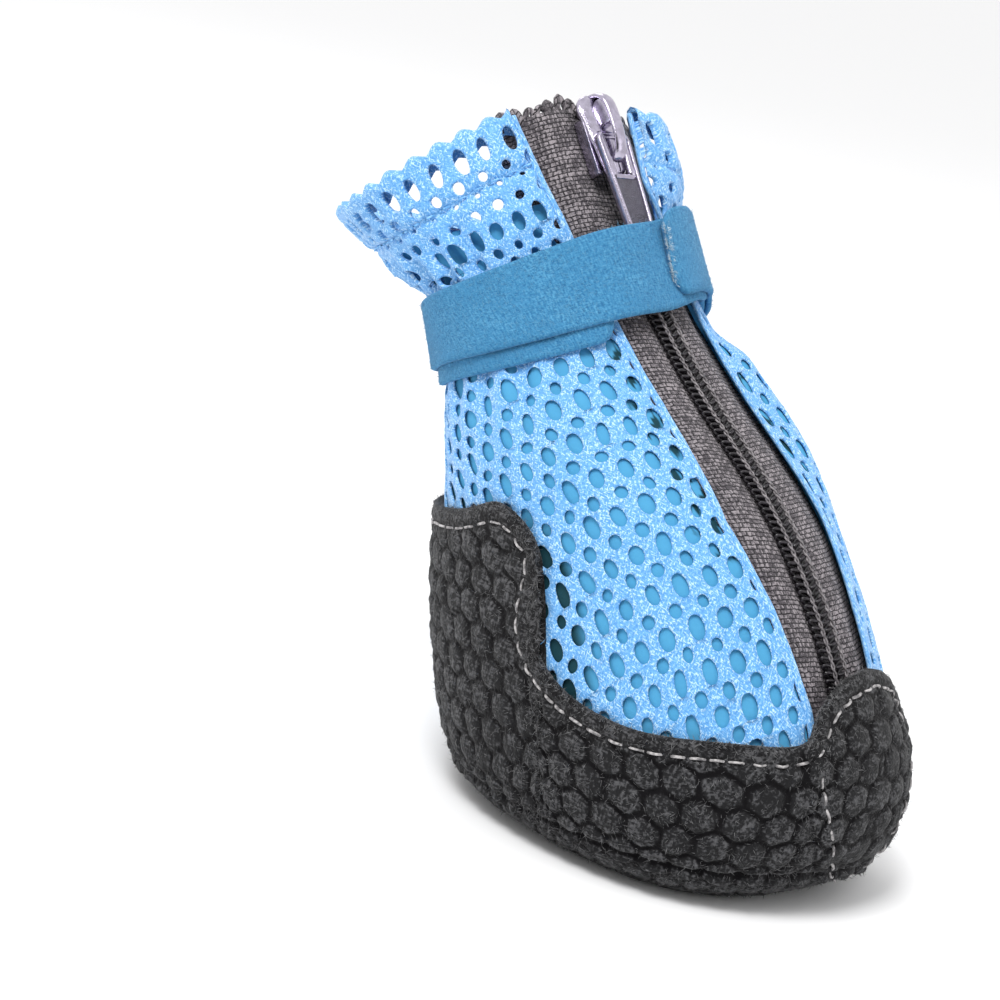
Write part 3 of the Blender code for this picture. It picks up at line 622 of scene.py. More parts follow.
def build(
    name: str,
    points: np.ndarray,
    faces: Sequence[Sequence[int]] | np.ndarray,
    material: bpy.types.Material,
    body: str = "boot",
    cloth: np.ndarray | None = None,
    values: dict[str, np.ndarray] | None = None,
) -> bpy.types.Object:
    """Make a piece that rides on a body.

    Args:
        name: The piece's name.
        points: Its points, one a row.
        faces: The points of each face.
        material: Its finish.
        body: The body that carries it.
        cloth: For each point, its place on the flat cloth in metres.
        values: Named values that the finish reads, one a point.

    Returns:
        The piece.
    """
    mesh = bpy.data.meshes.new(name)
    faces = faces.tolist() if isinstance(faces, np.ndarray) else faces
    mesh.from_pydata(points.tolist(), [], faces)
    mesh.validate()
    if cloth is not None:
        layer = mesh.uv_layers.new(name="cloth")
        corners = np.zeros(len(mesh.loops), int)
        mesh.loops.foreach_get("vertex_index", corners)
        layer.data.foreach_set("uv", (cloth[corners] / CLOTH_UNIT).astype(np.float32).ravel())
    for label, numbers in (values or {}).items():
        attribute = mesh.attributes.new(label, "FLOAT", "POINT")
        attribute.data.foreach_set("value", numbers.astype(np.float32))
    mesh.shade_smooth()
    mesh.materials.append(material)
    piece = bpy.data.objects.new(name, mesh)
    bpy.context.scene.collection.objects.link(piece)
    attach(piece, body)
    LOG.info("%s: %d faces", name, len(mesh.polygons))
    return piece


def grid_faces(rows: int, columns: int, closed: bool = False) -> np.ndarray:
    """The four points of each face of a grid, whose columns may close on themselves."""
    j, k = np.meshgrid(np.arange(rows - 1), np.arange(columns if closed else columns - 1), indexing="ij")
    after = (k + 1) % columns
    corners = (j * columns + k, j * columns + after, (j + 1) * columns + after, (j + 1) * columns + k)
    return np.stack([corner.ravel() for corner in corners], -1)


def sleeve_faces(rows: int, columns: int) -> list[list[int]]:
    """The faces of a closed sleeve of points, with one face over each end."""
    faces = grid_faces(rows, columns, True).tolist()
    last = (rows - 1) * columns
    return faces + [list(range(columns))[::-1], list(range(last, last + columns))]


def tube(
    path: np.ndarray, radius: float, sides: int = 6, flat: float = 1.0, facing: np.ndarray | None = None
) -> tuple[np.ndarray, np.ndarray]:
    """A round or flattened cord along a path, with closed ends.

    Args:
        path: Its middle line, one point a row.
        radius: Its radius.
        sides: How many sides it has.
        flat: Its height as a share of its width.
        facing: The direction of its height at each point.

    Returns:
        Its points and its faces.
    """
    tangent = unit(np.gradient(path, axis=0))
    if facing is None:
        facing = np.tile(np.array([[0.137, -0.71, 0.69]]), (len(path), 1))
    across = unit(np.cross(tangent, facing))
    high = np.cross(across, tangent)
    angle = np.linspace(0.0, 2.0 * math.pi, sides, endpoint=False)
    ring = across[:, None] * np.cos(angle)[:, None] + high[:, None] * (flat * np.sin(angle))[:, None]
    points = (path[:, None] + ring * radius).reshape(-1, 3)
    faces = grid_faces(len(path), sides, True)
    caps = []
    for base in (0, (len(path) - 1) * sides):
        for side in range(1, sides - 1, 2):
            caps.append([base, base + side, base + side + 1, base + min(side + 2, sides - 1)])
    return points, np.concatenate([faces, np.array(caps)])


def gather(parts: Sequence[tuple[np.ndarray, np.ndarray]]) -> tuple[np.ndarray, np.ndarray]:
    """Several meshes as one."""
    shift = 0
    faces = []
    for points, corners in parts:
        faces.append(corners + shift)
        shift += len(points)
    return np.concatenate([points for points, _ in parts]), np.concatenate(faces)


def hairs(
    roots: np.ndarray, normals: np.ndarray, length: float, width: float, stand: float, seed: int
) -> tuple[np.ndarray, np.ndarray]:
    """Fine bent fibres, each of two narrow triangles.

    Args:
        roots: Where they start.
        normals: The outward direction at each root.
        length: Their mean length.
        width: Their width at the root.
        stand: How steeply they stand, from 0, lying down, to 1.
        seed: Their order.

    Returns:
        Their points and faces.
    """
    random = np.random.default_rng(seed)
    drift = random.normal(size=roots.shape)
    drift = unit(drift - normals * np.sum(drift * normals, axis=1, keepdims=True))
    rise = np.clip(random.normal(stand, 0.25, (len(roots), 1)), 0.02, 1.2)
    reach = length * random.uniform(0.5, 1.5, (len(roots), 1))
    side = np.cross(normals, drift) * width / 2.0
    middle = roots + (drift + normals * rise) * reach * 0.5
    tip = roots + (drift * 1.05 + normals * rise * 0.7) * reach
    points = np.stack([roots - side, roots + side, middle + side * 0.8, middle - side * 0.8, tip], 1)
    base = np.arange(len(roots))[:, None] * 5
    quads = base + np.array([[0, 1, 2, 3]])
    tips = base + np.array([[3, 2, 4, 4]])
    return points.reshape(-1, 3), np.concatenate([quads, tips])


def hair_faces(faces: np.ndarray) -> list[list[int]]:
    """The fibres' faces with each tip as a triangle."""
    return [face[:3] if face[2] == face[3] else face for face in faces.tolist()]


@dataclass
class ClothChart:
    """A flat cloth laid on the boot, with its columns along the zip and its rows square to it."""

    last: Last
    lean: Color = (0.0, 0.72, 0.694)
    along_count: int = 240
    around_count: int = 260

    def __post_init__(self) -> None:
        """Tabulate the ring and turn of each place on the cloth."""
        rings = np.linspace(1.0, 9.1, 160)
        turns = np.linspace(0.0, 180.0, 145)
        reach = self.last.points(rings[:, None], turns[None, :]) @ np.array(self.lean)
        self.along = np.linspace(reach.min(), reach.max(), self.along_count)
        ring = np.stack([np.interp(self.along, reach[:, k], rings) for k in range(len(turns))], 1)
        place = self.last.points(ring, turns[None, :])
        steps = np.linalg.norm(np.diff(place, axis=1), axis=2)
        around = np.concatenate([np.zeros((len(ring), 1)), np.cumsum(steps, axis=1)], 1)
        self.girth = around[:, -1]
        self.around = np.linspace(0.0, self.girth.max(), self.around_count)
        rows = range(len(ring))
        self.ring_table = np.stack([np.interp(self.around, around[j], ring[j]) for j in rows])
        self.turn_table = np.stack([np.interp(self.around, around[j], turns) for j in rows])
        beyond = np.abs(place[..., 0]) - self.last.throat(ring)
        half = len(turns) // 2
        self.edge = np.array([np.interp(0.0, beyond[j, :half], around[j, :half]) for j in rows])

    def locate(self, along: np.ndarray, around: np.ndarray) -> tuple[np.ndarray, np.ndarray]:
        """The ring and turn of each place on the cloth."""
        row = (along - self.along[0]) / (self.along[1] - self.along[0])
        column = around / (self.around[1] - self.around[0])
        return bilinear(self.ring_table, row, column), bilinear(self.turn_table, row, column)

    def edge_at(self, along: np.ndarray) -> np.ndarray:
        """How far round from the middle the zip's opening ends."""
        return np.interp(along, self.along, self.edge)

    def girth_at(self, along: np.ndarray) -> np.ndarray:
        """How far round the heel's middle lies."""
        return np.interp(along, self.along, self.girth)


@dataclass
class HoleStrip:
    """One row of holes in a knitted mesh, all alike."""

    middle: float
    height: float
    half_width: float
    half_height: float
    shifted: bool


@dataclass
class AirMesh:
    """Knitted mesh as cells, each with an oval hole, a raised rim and a lip that turns in."""

    pitch: float = 5.1 * MM
    columns: int = 8
    sides: int = 4
    rim: float = 0.22 * MM
    cord: float = 0.14 * MM
    lip: float = 0.26 * MM
    tilt: float = math.radians(-3.0)
    tilt_above: float = math.radians(14.0)
    seed: int = 5

    def outline(self, height: float) -> np.ndarray:
        """The points round one cell's border, from its lower left corner."""
        x, y = self.pitch / 2.0, height / 2.0
        level = np.linspace(-x, x, self.columns + 1)[:-1]
        rise = np.linspace(-y, y, self.sides + 1)[:-1]
        low = np.stack([level, np.full_like(level, -y)], 1)
        right = np.stack([np.full_like(rise, x), rise], 1)
        return np.concatenate([low, right, -low, -right])

    def strip(
        self, strip: HoleStrip, first: int, last: int
    ) -> tuple[np.ndarray, np.ndarray, np.ndarray, np.ndarray]:
        """The cells of one row.

        Args:
            strip: The row.
            first: The first column.
            last: The column after the last.

        Returns:
            Each cell's points on the cloth, its heights, its rim values and its middle.
        """
        random = np.random.default_rng(self.seed + int(strip.middle * 1e5) % 9973)
        count = last - first
        border = self.outline(strip.height)
        angle = np.arctan2(border[:, 1] / strip.height, border[:, 0] / self.pitch)
        size = 1.0 + 0.10 * random.normal(size=(count, 1, 2)).clip(-1.6, 1.6)
        oval = np.stack([strip.half_width * np.cos(angle), strip.half_height * np.sin(angle)], 1)
        hole = oval[None] * size
        lean = self.tilt + self.tilt_above * float(step(strip.middle, 20.0 * MM, 40.0 * MM))
        turn = lean + 0.05 * random.normal(size=(count, 1))
        x = hole[..., 0] * np.cos(turn) - hole[..., 1] * np.sin(turn)
        y = hole[..., 0] * np.sin(turn) + hole[..., 1] * np.cos(turn)
        hole = np.stack([x, y], -1)
        hole = hole + 0.12 * MM * random.normal(size=(count, 1, 2))
        border = np.broadcast_to(border[None], hole.shape)
        across = (np.arange(first, last) + (0.5 if strip.shifted else 0.0)) * self.pitch
        middle = np.stack([across, np.full(count, strip.middle)], 1)
        rings = [hole * 1.08, hole, hole * 0.80 + border * 0.20, border]
        points = np.stack(rings, 1) + middle[:, None, None, :]
        heights = np.array([-self.lip, 0.0, self.rim, self.cord])[:, None]
        # Rim values: how strongly the yarn's painted highlights (glints) gather, most at the hole's edge.
        rims = np.array([0.1, 1.0, 0.3, 0.0])[:, None]
        shape = points.shape[:3]
        return points, np.broadcast_to(heights, shape), np.broadcast_to(rims, shape), middle

    def knit(
        self, strips: Sequence[HoleStrip], first: int, last: int, keep: "Keep"
    ) -> tuple[np.ndarray, np.ndarray, np.ndarray, np.ndarray]:
        """All the cells that are kept, with shared borders.

        Args:
            strips: The rows of holes.
            first: The first column.
            last: The column after the last.
            keep: Says which middles are kept.

        Returns:
            The points on the cloth, their heights, their rim values, and the faces.
        """
        places, heights, rims = [], [], []
        for strip in strips:
            points, height, rim, middle = self.strip(strip, first, last)
            chosen = keep.chosen(middle)
            places.append(points[chosen].reshape(-1, 2))
            heights.append(height[chosen].ravel())
            rims.append(rim[chosen].ravel())
        place = np.concatenate(places)
        ring = 2 * (self.columns + self.sides)
        cells = len(place) // (4 * ring)
        base = np.arange(cells)[:, None] * 4 * ring
        faces = (base[:, :, None] + grid_faces(4, ring, True)[None]).reshape(-1, 4)
        keys = np.round(place / (0.004 * MM)).astype(np.int64)
        _, kept, back = np.unique(keys, axis=0, return_index=True, return_inverse=True)
        faces = back.ravel()[faces]
        return place[kept], np.concatenate(heights)[kept], np.concatenate(rims)[kept], faces


@dataclass
class Keep:
    """Which cells of the lower mesh are built: those that the rand and strap don't hide."""

    chart: ClothChart

    def chosen(self, middle: np.ndarray) -> np.ndarray:
        """True for each cell's middle that is kept."""
        around, along = middle[:, 0], middle[:, 1]
        ring, turn = self.chart.locate(along, np.abs(around))
        floor = np.where(turn > 100.0, 3.2, np.where(turn > 78.0, 2.1, 1.95))
        inside = around > self.chart.edge_at(along) - 3.0 * MM
        inside &= around < self.chart.girth_at(along) + 1.0 * MM
        return inside & (ring > floor) & (ring < 7.62)


class KeepAll:
    """Every cell is built."""

    def chosen(self, middle: np.ndarray) -> np.ndarray:
        """True for each cell."""
        return np.ones(len(middle), bool)


@dataclass
class Upper:
    """The mesh from the rand to the strap, its bound edges, and the cloth behind it."""

    last: Last
    chart: ClothChart
    yarn: bpy.types.Material
    lining: bpy.types.Material
    row: float = 7.65 * MM
    big_height: float = 4.5 * MM
    edge_width: float = 0.35 * MM
    ring_height: float = 12.0 * MM

    def folds(self, ring: np.ndarray, turn: np.ndarray) -> np.ndarray:
        """How far soft gathers under the strap stand out."""
        turn = np.abs(turn)
        near = step(ring, 4.6, 2.4) * step(turn, 48.0, 30.0)
        return near * 0.75 * MM * np.sin(np.radians(turn) * 22.0 + 1.6 * np.sin(ring * 2.1))

    def strips(self) -> list[HoleStrip]:
        """The rows of big and small holes up the cloth."""
        made = []
        first = int(self.chart.along[0] / self.row)
        for number in range(first, int(self.chart.along[-1] / self.row) + 1):
            middle = number * self.row
            made.append(HoleStrip(middle, self.big_height, 1.27 * MM, 2.08 * MM, False))
            small = self.row - self.big_height
            made.append(HoleStrip(middle + self.row / 2.0, small, 1.06 * MM, 1.30 * MM, True))
        return made

    def panel(self, side: float, name: str) -> bpy.types.Object:
        """One side's mesh, from the zip round to the heel's middle."""
        knit = AirMesh(seed=5 if side > 0 else 17)
        place, height, rim, faces = knit.knit(self.strips(), 0, 28, Keep(self.chart))
        around, along = place.T
        around = around + 0.22 * MM * wobble(around, along, 9.0 * MM, 0.7 * side)
        along = along + 0.22 * MM * wobble(around, along, 8.0 * MM, 2.1 * side)
        low = self.chart.edge_at(along) + self.edge_width
        around = np.clip(around, low, self.chart.girth_at(along))
        ring, turn = self.chart.locate(along, around)
        out = height + self.folds(ring, turn) + 0.12 * MM * wobble(around, along, 5.0 * MM, 4.0)
        points = self.last.draped(ring, side * turn, out)
        return build(name, points, faces, self.yarn, cloth=np.stack([around, along], 1), values={"rim": rim})

    def ribbon(
        self, name: str, made: tuple[np.ndarray, np.ndarray], rings: np.ndarray, width: float, rim: float
    ) -> bpy.types.Object:
        """A knitted cord along rings, with its cloth as wide as it would lie flat."""
        points, faces = made
        sides = len(points) // len(rings)
        across = np.tile(np.linspace(0.0, width, sides), len(rings))
        cloth = np.stack([across, np.repeat(rings * self.ring_height, sides)], 1)
        # The rim value sets how often painted highlights (glints) fall on the cord.
        values = {"rim": np.full(len(points), rim)}
        return build(name, points, faces, self.yarn, cloth=cloth, values=values)

    def bound_edge(self, side: float, name: str) -> bpy.types.Object:
        """The rounded edge of the mesh beside the zip."""
        rings = np.linspace(2.45, 9.0, 220)
        uneven = 0.10 * MM * wobble(rings * 9.0 * MM, rings * 0.0, 2.2 * MM, side)
        turn = side * self.last.turn_at(rings, self.last.front(rings, side) + uneven)
        path = self.last.draped(rings, turn)
        outward = self.last.draped(rings, turn, 0.5 * MM) - path
        return self.ribbon(name, tube(path, 0.85 * MM, 8, 0.55, outward), rings, 5.0 * MM, 0.35)

    def heel_seam(self) -> bpy.types.Object:
        """The narrow knitted cover over the seam up the heel."""
        rings = np.linspace(3.3, 8.6, 90)
        turn = np.full(len(rings), 180.0)
        path = self.last.surface(rings, turn, 0.35 * MM)
        made = tube(path, 1.7 * MM, 10, 0.42, self.last.normals(rings, turn))
        return self.ribbon("heel_seam", made, rings, 8.0 * MM, 0.0)

    def backing(self) -> bpy.types.Object:
        """The cloth behind the mesh, with its edges back from the zip, and painted shade near the sole, low
        at the heel and in patches beside the zip.
        """
        rings = np.linspace(1.0, 8.30, 120)
        edge = self.last.turn_at(rings, self.last.throat(rings) + 0.7 * MM)
        share = np.linspace(0.0, 1.0, 241)
        turns = edge[:, None] + (360.0 - 2.0 * edge[:, None]) * share[None]
        ring = np.broadcast_to(rings[:, None], turns.shape)
        folded_turn = (turns + 180.0) % 360.0 - 180.0
        folded = np.abs(folded_turn)
        deep = 0.52 * MM + 1.3 * MM * step(ring, 7.0, 0.6) - self.folds(ring, folded_turn)
        points = self.last.draped(ring, folded_turn, 0.08 * MM * np.sin(np.radians(turns) * 9.0) - deep)
        # Painted shade: how far the lining is darkened, near the sole, low at the heel and in patches beside
        # the zip.
        low = 1.0 - step(ring, 2.5, 0.6)
        heel = step(folded, 70.0, 14.0) * (1.0 - step(ring, 3.6, 1.3))
        zip_side_shade = (1.0 - step(folded, edge[:, None] + 7.0, 7.0)) * step(ring, 4.1, 0.6)
        zip_side_shade = zip_side_shade * (1.0 - step(ring, 6.5, 0.5))
        patchy_shade = smooth(0.5 + 1.3 * np.sin(ring * 17.0 + folded * 0.9) * np.sin(ring * 7.0 - folded * 0.6))
        shade = np.maximum(np.maximum(low * 0.35, heel), zip_side_shade * patchy_shade)
        faces = grid_faces(len(rings), len(share))
        values = {"shade": shade.ravel()}
        return build("upper_lining", points.reshape(-1, 3), faces, self.lining, values=values)

    def make(self) -> None:
        """Build the pieces."""
        left = self.panel(1.0, "mesh_panel_left")
        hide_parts("upper")
        self.panel(-1.0, "mesh_panel_right")
        self.bound_edge(1.0, "mesh_edge_left")
        self.bound_edge(-1.0, "mesh_edge_right")
        self.heel_seam()
        self.backing()


@dataclass
class Collar:
    """The mesh above the strap, folded over at the rim into a scalloped hem."""

    last: Last
    yarn: bpy.types.Material
    thread: bpy.types.Material
    pitch: float = 4.7 * MM
    depth: float = 31.0 * MM
    columns: int = 27
    edge_inset: float = 0.5 * MM
    seam_down: float = 9.6 * MM
    fold_section: tuple[tuple[float, float], ...] = (
        (0.0, 0.95), (0.45, 1.15), (0.8, 0.95), (1.0, 0.2), (0.8, -0.7), (0.3, -1.2), (-0.8, -1.3),
    )

    def __post_init__(self) -> None:
        """Tabulate the ring at each distance below the rim, and the columns' turns."""
        self.turns = np.linspace(0.0, 180.0, 91)
        rings = np.linspace(9.0, 6.4, 131)
        place = self.last.points(rings[:, None], self.turns[None])
        steps = np.linalg.norm(np.diff(place, axis=0), axis=2)
        down = np.concatenate([np.zeros((1, len(self.turns))), np.cumsum(steps, axis=0)])
        self.downs = np.linspace(0.0, self.depth + 4.0 * MM, 141)
        columns = range(len(self.turns))
        self.ring_table = np.stack([np.interp(self.downs, down[:, k], rings) for k in columns], 1)
        fine = np.linspace(0.0, 180.0, 721)
        hem = self.last.points(np.full(721, 8.6), fine)
        self.hem_turns = fine
        self.hem_reach = reach_along(hem)

    def ring_at(self, turn: np.ndarray, down: np.ndarray) -> np.ndarray:
        """The ring at a distance below the rim."""
        row = down / (self.downs[1] - self.downs[0])
        return bilinear(self.ring_table, row, turn / (self.turns[1] - self.turns[0]))

    def edge_at(self, ring: np.ndarray, side: float) -> np.ndarray:
        """How far round from the front's middle a side's mesh starts."""
        turn = self.last.turn_at(ring, self.last.front(ring, side))
        return np.interp(turn, self.hem_turns, self.hem_reach) + self.edge_inset

    def place(self, around: np.ndarray, down: np.ndarray, out: np.ndarray, side: float) -> np.ndarray:
        """Points at distances round from the front's middle and down from the rim."""
        turn = np.interp(around, self.hem_reach, self.hem_turns)
        ring = self.ring_at(turn, down)
        over = np.maximum(-down, 0.0)
        pleat = step(down, 9.0 * MM, 9.0 * MM) * step(turn, 45.0, 30.0)
        out = out + pleat * 0.9 * MM * np.sin(turn * 0.42 + 1.2 * np.sin(down * 160.0))
        out = out + 0.8 * MM * wobble(around, down, 14.0 * MM, 1.3) * step(turn, 25.0, 20.0)
        placed = self.last.draped(ring, side * turn, out)
        rise = unit(self.last.draped(ring + 0.02, side * turn, out) - placed)
        return placed + rise * over[..., None]

    def strips(self) -> list[HoleStrip]:
        """The rows of holes from the rim down. The cloth's own height is below the rim."""
        big = (1.20 * MM, 1.95 * MM)
        small = (0.95 * MM, 1.00 * MM)
        return [
            HoleStrip(3.9 * MM, 5.4 * MM, 1.15 * MM, 2.25 * MM, False),
            HoleStrip(8.0 * MM, 2.8 * MM, 0.85 * MM, 1.05 * MM, True),
            HoleStrip(10.6 * MM, 2.4 * MM, 0.50 * MM, 0.45 * MM, False),
            HoleStrip(13.9 * MM, 4.2 * MM, *small, True),
            HoleStrip(18.1 * MM, 4.2 * MM, *big, False),
            HoleStrip(21.9 * MM, 3.4 * MM, *small, True),
            HoleStrip(25.8 * MM, 4.4 * MM, *big, False),
        ]

    def hem_depth(self, down: np.ndarray) -> np.ndarray:
        """How thick the cloth is: two layers over the hem, one below it."""
        return 0.55 * MM * (1.0 - step(down, 8.8 * MM, 1.0 * MM))

    def panel(self, side: float, name: str) -> bpy.types.Object:
        """One side's mesh above the strap."""
        seed = 31 if side > 0 else 47
        knit = AirMesh(self.pitch, rim=0.26 * MM, lip=0.50 * MM, tilt=0.0, tilt_above=0.0, seed=seed)
        place, height, rim, faces = knit.knit(self.strips(), 1, self.columns + 1, KeepAll())
        around, down = place.T
        around = around + 0.25 * MM * wobble(around, down, 7.0 * MM, 0.4 * side)
        ring = self.ring_at(np.interp(around, self.hem_reach, self.hem_turns), down)
        around = np.clip(around, self.edge_at(ring, side), self.hem_reach[-1])
        seam = 0.7 * MM * bell(down, self.seam_down, 0.8 * MM)
        out = height * (1.0 + self.hem_depth(down) / MM) + self.hem_depth(down) + 0.2 * MM - seam
        points = self.place(around, down, out, side)
        return build(name, points, faces, self.yarn, cloth=np.stack([around, down], 1), values={"rim": rim})

    def scallops(self, side: float, name: str) -> bpy.types.Object:
        """The fold at the rim, which stands up between the holes and dips over each."""
        top = self.strips()[0]
        count = 8 * self.columns + 1
        around = np.linspace(0.5 * self.pitch, (self.columns + 0.5) * self.pitch, count)
        wave = 0.5 + 0.5 * np.cos(2.0 * math.pi * around / self.pitch + math.pi)
        start = top.middle - top.height / 2.0
        rise = 0.35 * MM + 1.35 * MM * wave**0.7
        kept = np.clip(around, self.edge_at(np.array([8.95]), side), self.hem_reach[-1])
        rows, cloth = [], []
        for share, out in self.fold_section:
            down = start - (start + rise) * share
            rows.append(self.place(kept, down, np.full_like(down, out * MM), side))
            cloth.append(np.stack([around, down + out * 0.3 * MM], 1))
        points = np.concatenate(rows)
        faces = grid_faces(len(rows), count)
        # The rim value sets how often painted highlights (glints) fall on the fold.
        values = {"rim": np.full(len(points), 0.3)}
        return build(name, points, faces, self.yarn, cloth=np.concatenate(cloth), values=values)

    def stitches(self, side: float) -> tuple[np.ndarray, np.ndarray]:
        """The thread along the hem's lower edge."""
        parts = []
        for start in np.arange(16.5 * MM, self.hem_reach[-1] - 2.0 * MM, 3.4 * MM):
            around = np.linspace(start, start + 2.3 * MM, 6)
            out = np.array([-0.1, 0.35, 0.5, 0.5, 0.35, -0.1]) * MM
            path = self.place(around, np.full(6, self.seam_down + 0.1 * MM), out, side)
            parts.append(tube(path, 0.17 * MM, 5))
        return gather(parts)

    def make(self) -> None:
        """Build the pieces."""
        for side, label in ((1.0, "left"), (-1.0, "right")):
            self.panel(side, f"collar_mesh_{label}")
            self.scallops(side, f"hem_fold_{label}")
        points, faces = gather([self.stitches(1.0), self.stitches(-1.0)])
        build("hem_stitches", points, faces, self.thread)


@dataclass
class Cup:
    """The padded sole: underside, walls, toe tab and heel counter, in brushed cloth."""

    last: Last
    cloth: bpy.types.Material
    thread: bpy.types.Material
    fibre: bpy.types.Material
    wall: float = 2.1 * MM
    gap: float = 0.3 * MM
    lug: float = 0.8 * MM
    lug_pitch: float = 7.8 * MM
    side_pitch: float = 6.0 * MM
    groove: float = 0.50 * MM
    seam_ring: float = 0.98
    stitch_inset: float = 2.5 * MM
    tab_turn: float = -7.0
    tab_lift: float = 0.8 * MM
    tab_border: float = 5.6
    count: int = 480
    floor_rows: int = 47
    inner_floor: float = 2.35 * MM
    fibres: int = 24000
    fibre_length: float = 1.05 * MM
    fibre_width: float = 0.085 * MM
    tab_stitches: tuple[tuple[float, float], ...] = (
        (0.62, -6.0), (0.98, 1.5), (1.30, 5.5), (1.52, 7.5), (1.76, 11.0), (2.00, 14.0), (2.26, 15.5),
        (2.42, 15.0),
    )
    inner_rows: tuple[tuple[float, float], ...] = (
        (1.012, 1.75), (1.016, 1.20), (1.008, 0.60), (0.99, 0.25), (0.90, 0.25), (0.70, 0.30), (0.45, 0.30),
        (0.20, 0.30),
    )
    edge: tuple[tuple[float, ...], ...] = (
        (0.0, 3.32, 0.0, 1.0), (10.0, 3.24, 8.0, 1.0), (17.5, 3.06, 15.0, 1.0), (22.5, 2.82, 20.0, 1.0),
        (27.5, 2.61, 26.0, 1.0), (40.0, 2.58, 39.0, 0.5), (53.0, 2.53, 53.0, 0.0), (66.0, 2.49, 66.0, 0.0),
        (78.0, 2.56, 77.0, 0.0), (86.0, 2.74, 83.0, 0.0), (90.0, 3.06, 87.0, 0.0), (89.0, 3.46, 90.0, 0.0),
        (86.0, 3.94, 93.0, 0.0), (88.5, 4.27, 97.0, 0.0), (96.0, 4.39, 102.0, 0.0), (110.0, 4.14, 113.0, 0.0),
        (138.0, 3.86, 139.0, 0.0), (180.0, 3.76, 180.0, 0.0),
    )

    def __post_init__(self) -> None:
        """Lay out the columns round the cup, closer where its edge climbs."""
        spline = Spline(self.edge)
        fine = np.linspace(0.0, len(self.edge) - 1.0, 900)
        row = spline.at(fine)
        steps = np.abs(np.diff(row[:, 2])) + 26.0 * np.abs(np.diff(row[:, 1]))
        reach = np.concatenate([[0.0], np.cumsum(steps)])
        half = self.count // 2
        near = spline.at(np.interp(np.linspace(0.0, reach[-1], half + 1), reach, fine))
        side = np.concatenate([np.ones(half + 1), -np.ones(half - 1)])
        row = np.concatenate([near, near[1:-1][::-1]])
        self.foot = side * row[:, 2]
        self.top = side * row[:, 0] + row[:, 3] * self.tab_turn
        self.ring = row[:, 1]
        self.side = side

    def lift(self, ring: np.ndarray, turn: np.ndarray) -> np.ndarray:
        """How far the toe tab stands off the last."""
        beside = 1.0 - step(np.abs(turn), 8.5, 17.0)
        return self.tab_lift * beside * step(ring, 2.2, 0.75)

    def wall_point(self, share: np.ndarray, out: np.ndarray | float) -> np.ndarray:
        """Points on every column, a share of the way from the foot up to the edge."""
        ring = share * self.ring
        turn = self.foot + (self.top - self.foot) * smooth(share)
        return self.last.surface(ring, turn, out + self.lift(ring, turn))

    @staticmethod
    def pads(x: np.ndarray, y: np.ndarray, pitch: float) -> np.ndarray:
        """How far inside its hexagonal pad each place lies, in metres."""
        row = pitch * math.sin(math.radians(60.0))
        best = np.full(x.shape, 9.0)
        second = np.full(x.shape, 9.0)
        number = np.round(y / row)
        for shift in (-1, 0, 1):
            line = number + shift
            offset = 0.5 * (line % 2)
            column = np.round(x / pitch - offset)
            for step in (-1, 0, 1):
                far = np.hypot(x - (column + step + offset) * pitch, y - line * row)
                second = np.where(far < best, best, np.minimum(second, far))
                best = np.minimum(best, far)
        return (second - best) / 2.0

    def edge_line(self, inset: float) -> tuple[np.ndarray, np.ndarray]:
        """The rings and turns of a line that runs inside the cup's top edge."""
        out = self.wall + self.lift(self.ring, self.top)
        path = self.last.surface(self.ring, self.top, out)
        along = unit(np.roll(path, -1, axis=0) - np.roll(path, 1, axis=0))
        down = np.cross(along, self.last.normals(self.ring, self.top))
        down *= np.sign(np.sum(down * (self.wall_point(0.9, self.wall) - path), axis=1).sum())
        return self.last.slid(self.ring, self.top, self.wall, down * inset)

    @staticmethod
    def nearest(places: np.ndarray, line: np.ndarray) -> np.ndarray:
        """The distance from each place to the nearest point of a line."""
        return np.min(np.linalg.norm(places[:, None] - line[None], axis=2), axis=1)

    def tab_line(self, beyond: float) -> np.ndarray:
        """Points down the toe tab's two sides, a number of degrees outside its stitches."""
        rings = np.linspace(0.62, 2.55, 70)
        table = np.array(self.tab_stitches)
        turns = np.interp(rings, table[:, 0], table[:, 1]) + beyond
        sides = []
        for turn in (turns, 2.0 * self.tab_turn - turns):
            sides.append(self.last.surface(rings, turn, self.wall + self.lift(rings, turn)))
        return np.concatenate(sides)

    def on_tab(self, ring: np.ndarray, turn: np.ndarray, beyond: float) -> np.ndarray:
        """How many degrees inside the toe tab's sides a place is."""
        table = np.array(self.tab_stitches)
        edge = np.interp(ring, table[:, 0], table[:, 1]) + beyond - self.tab_turn
        return edge - np.abs(turn - self.tab_turn)

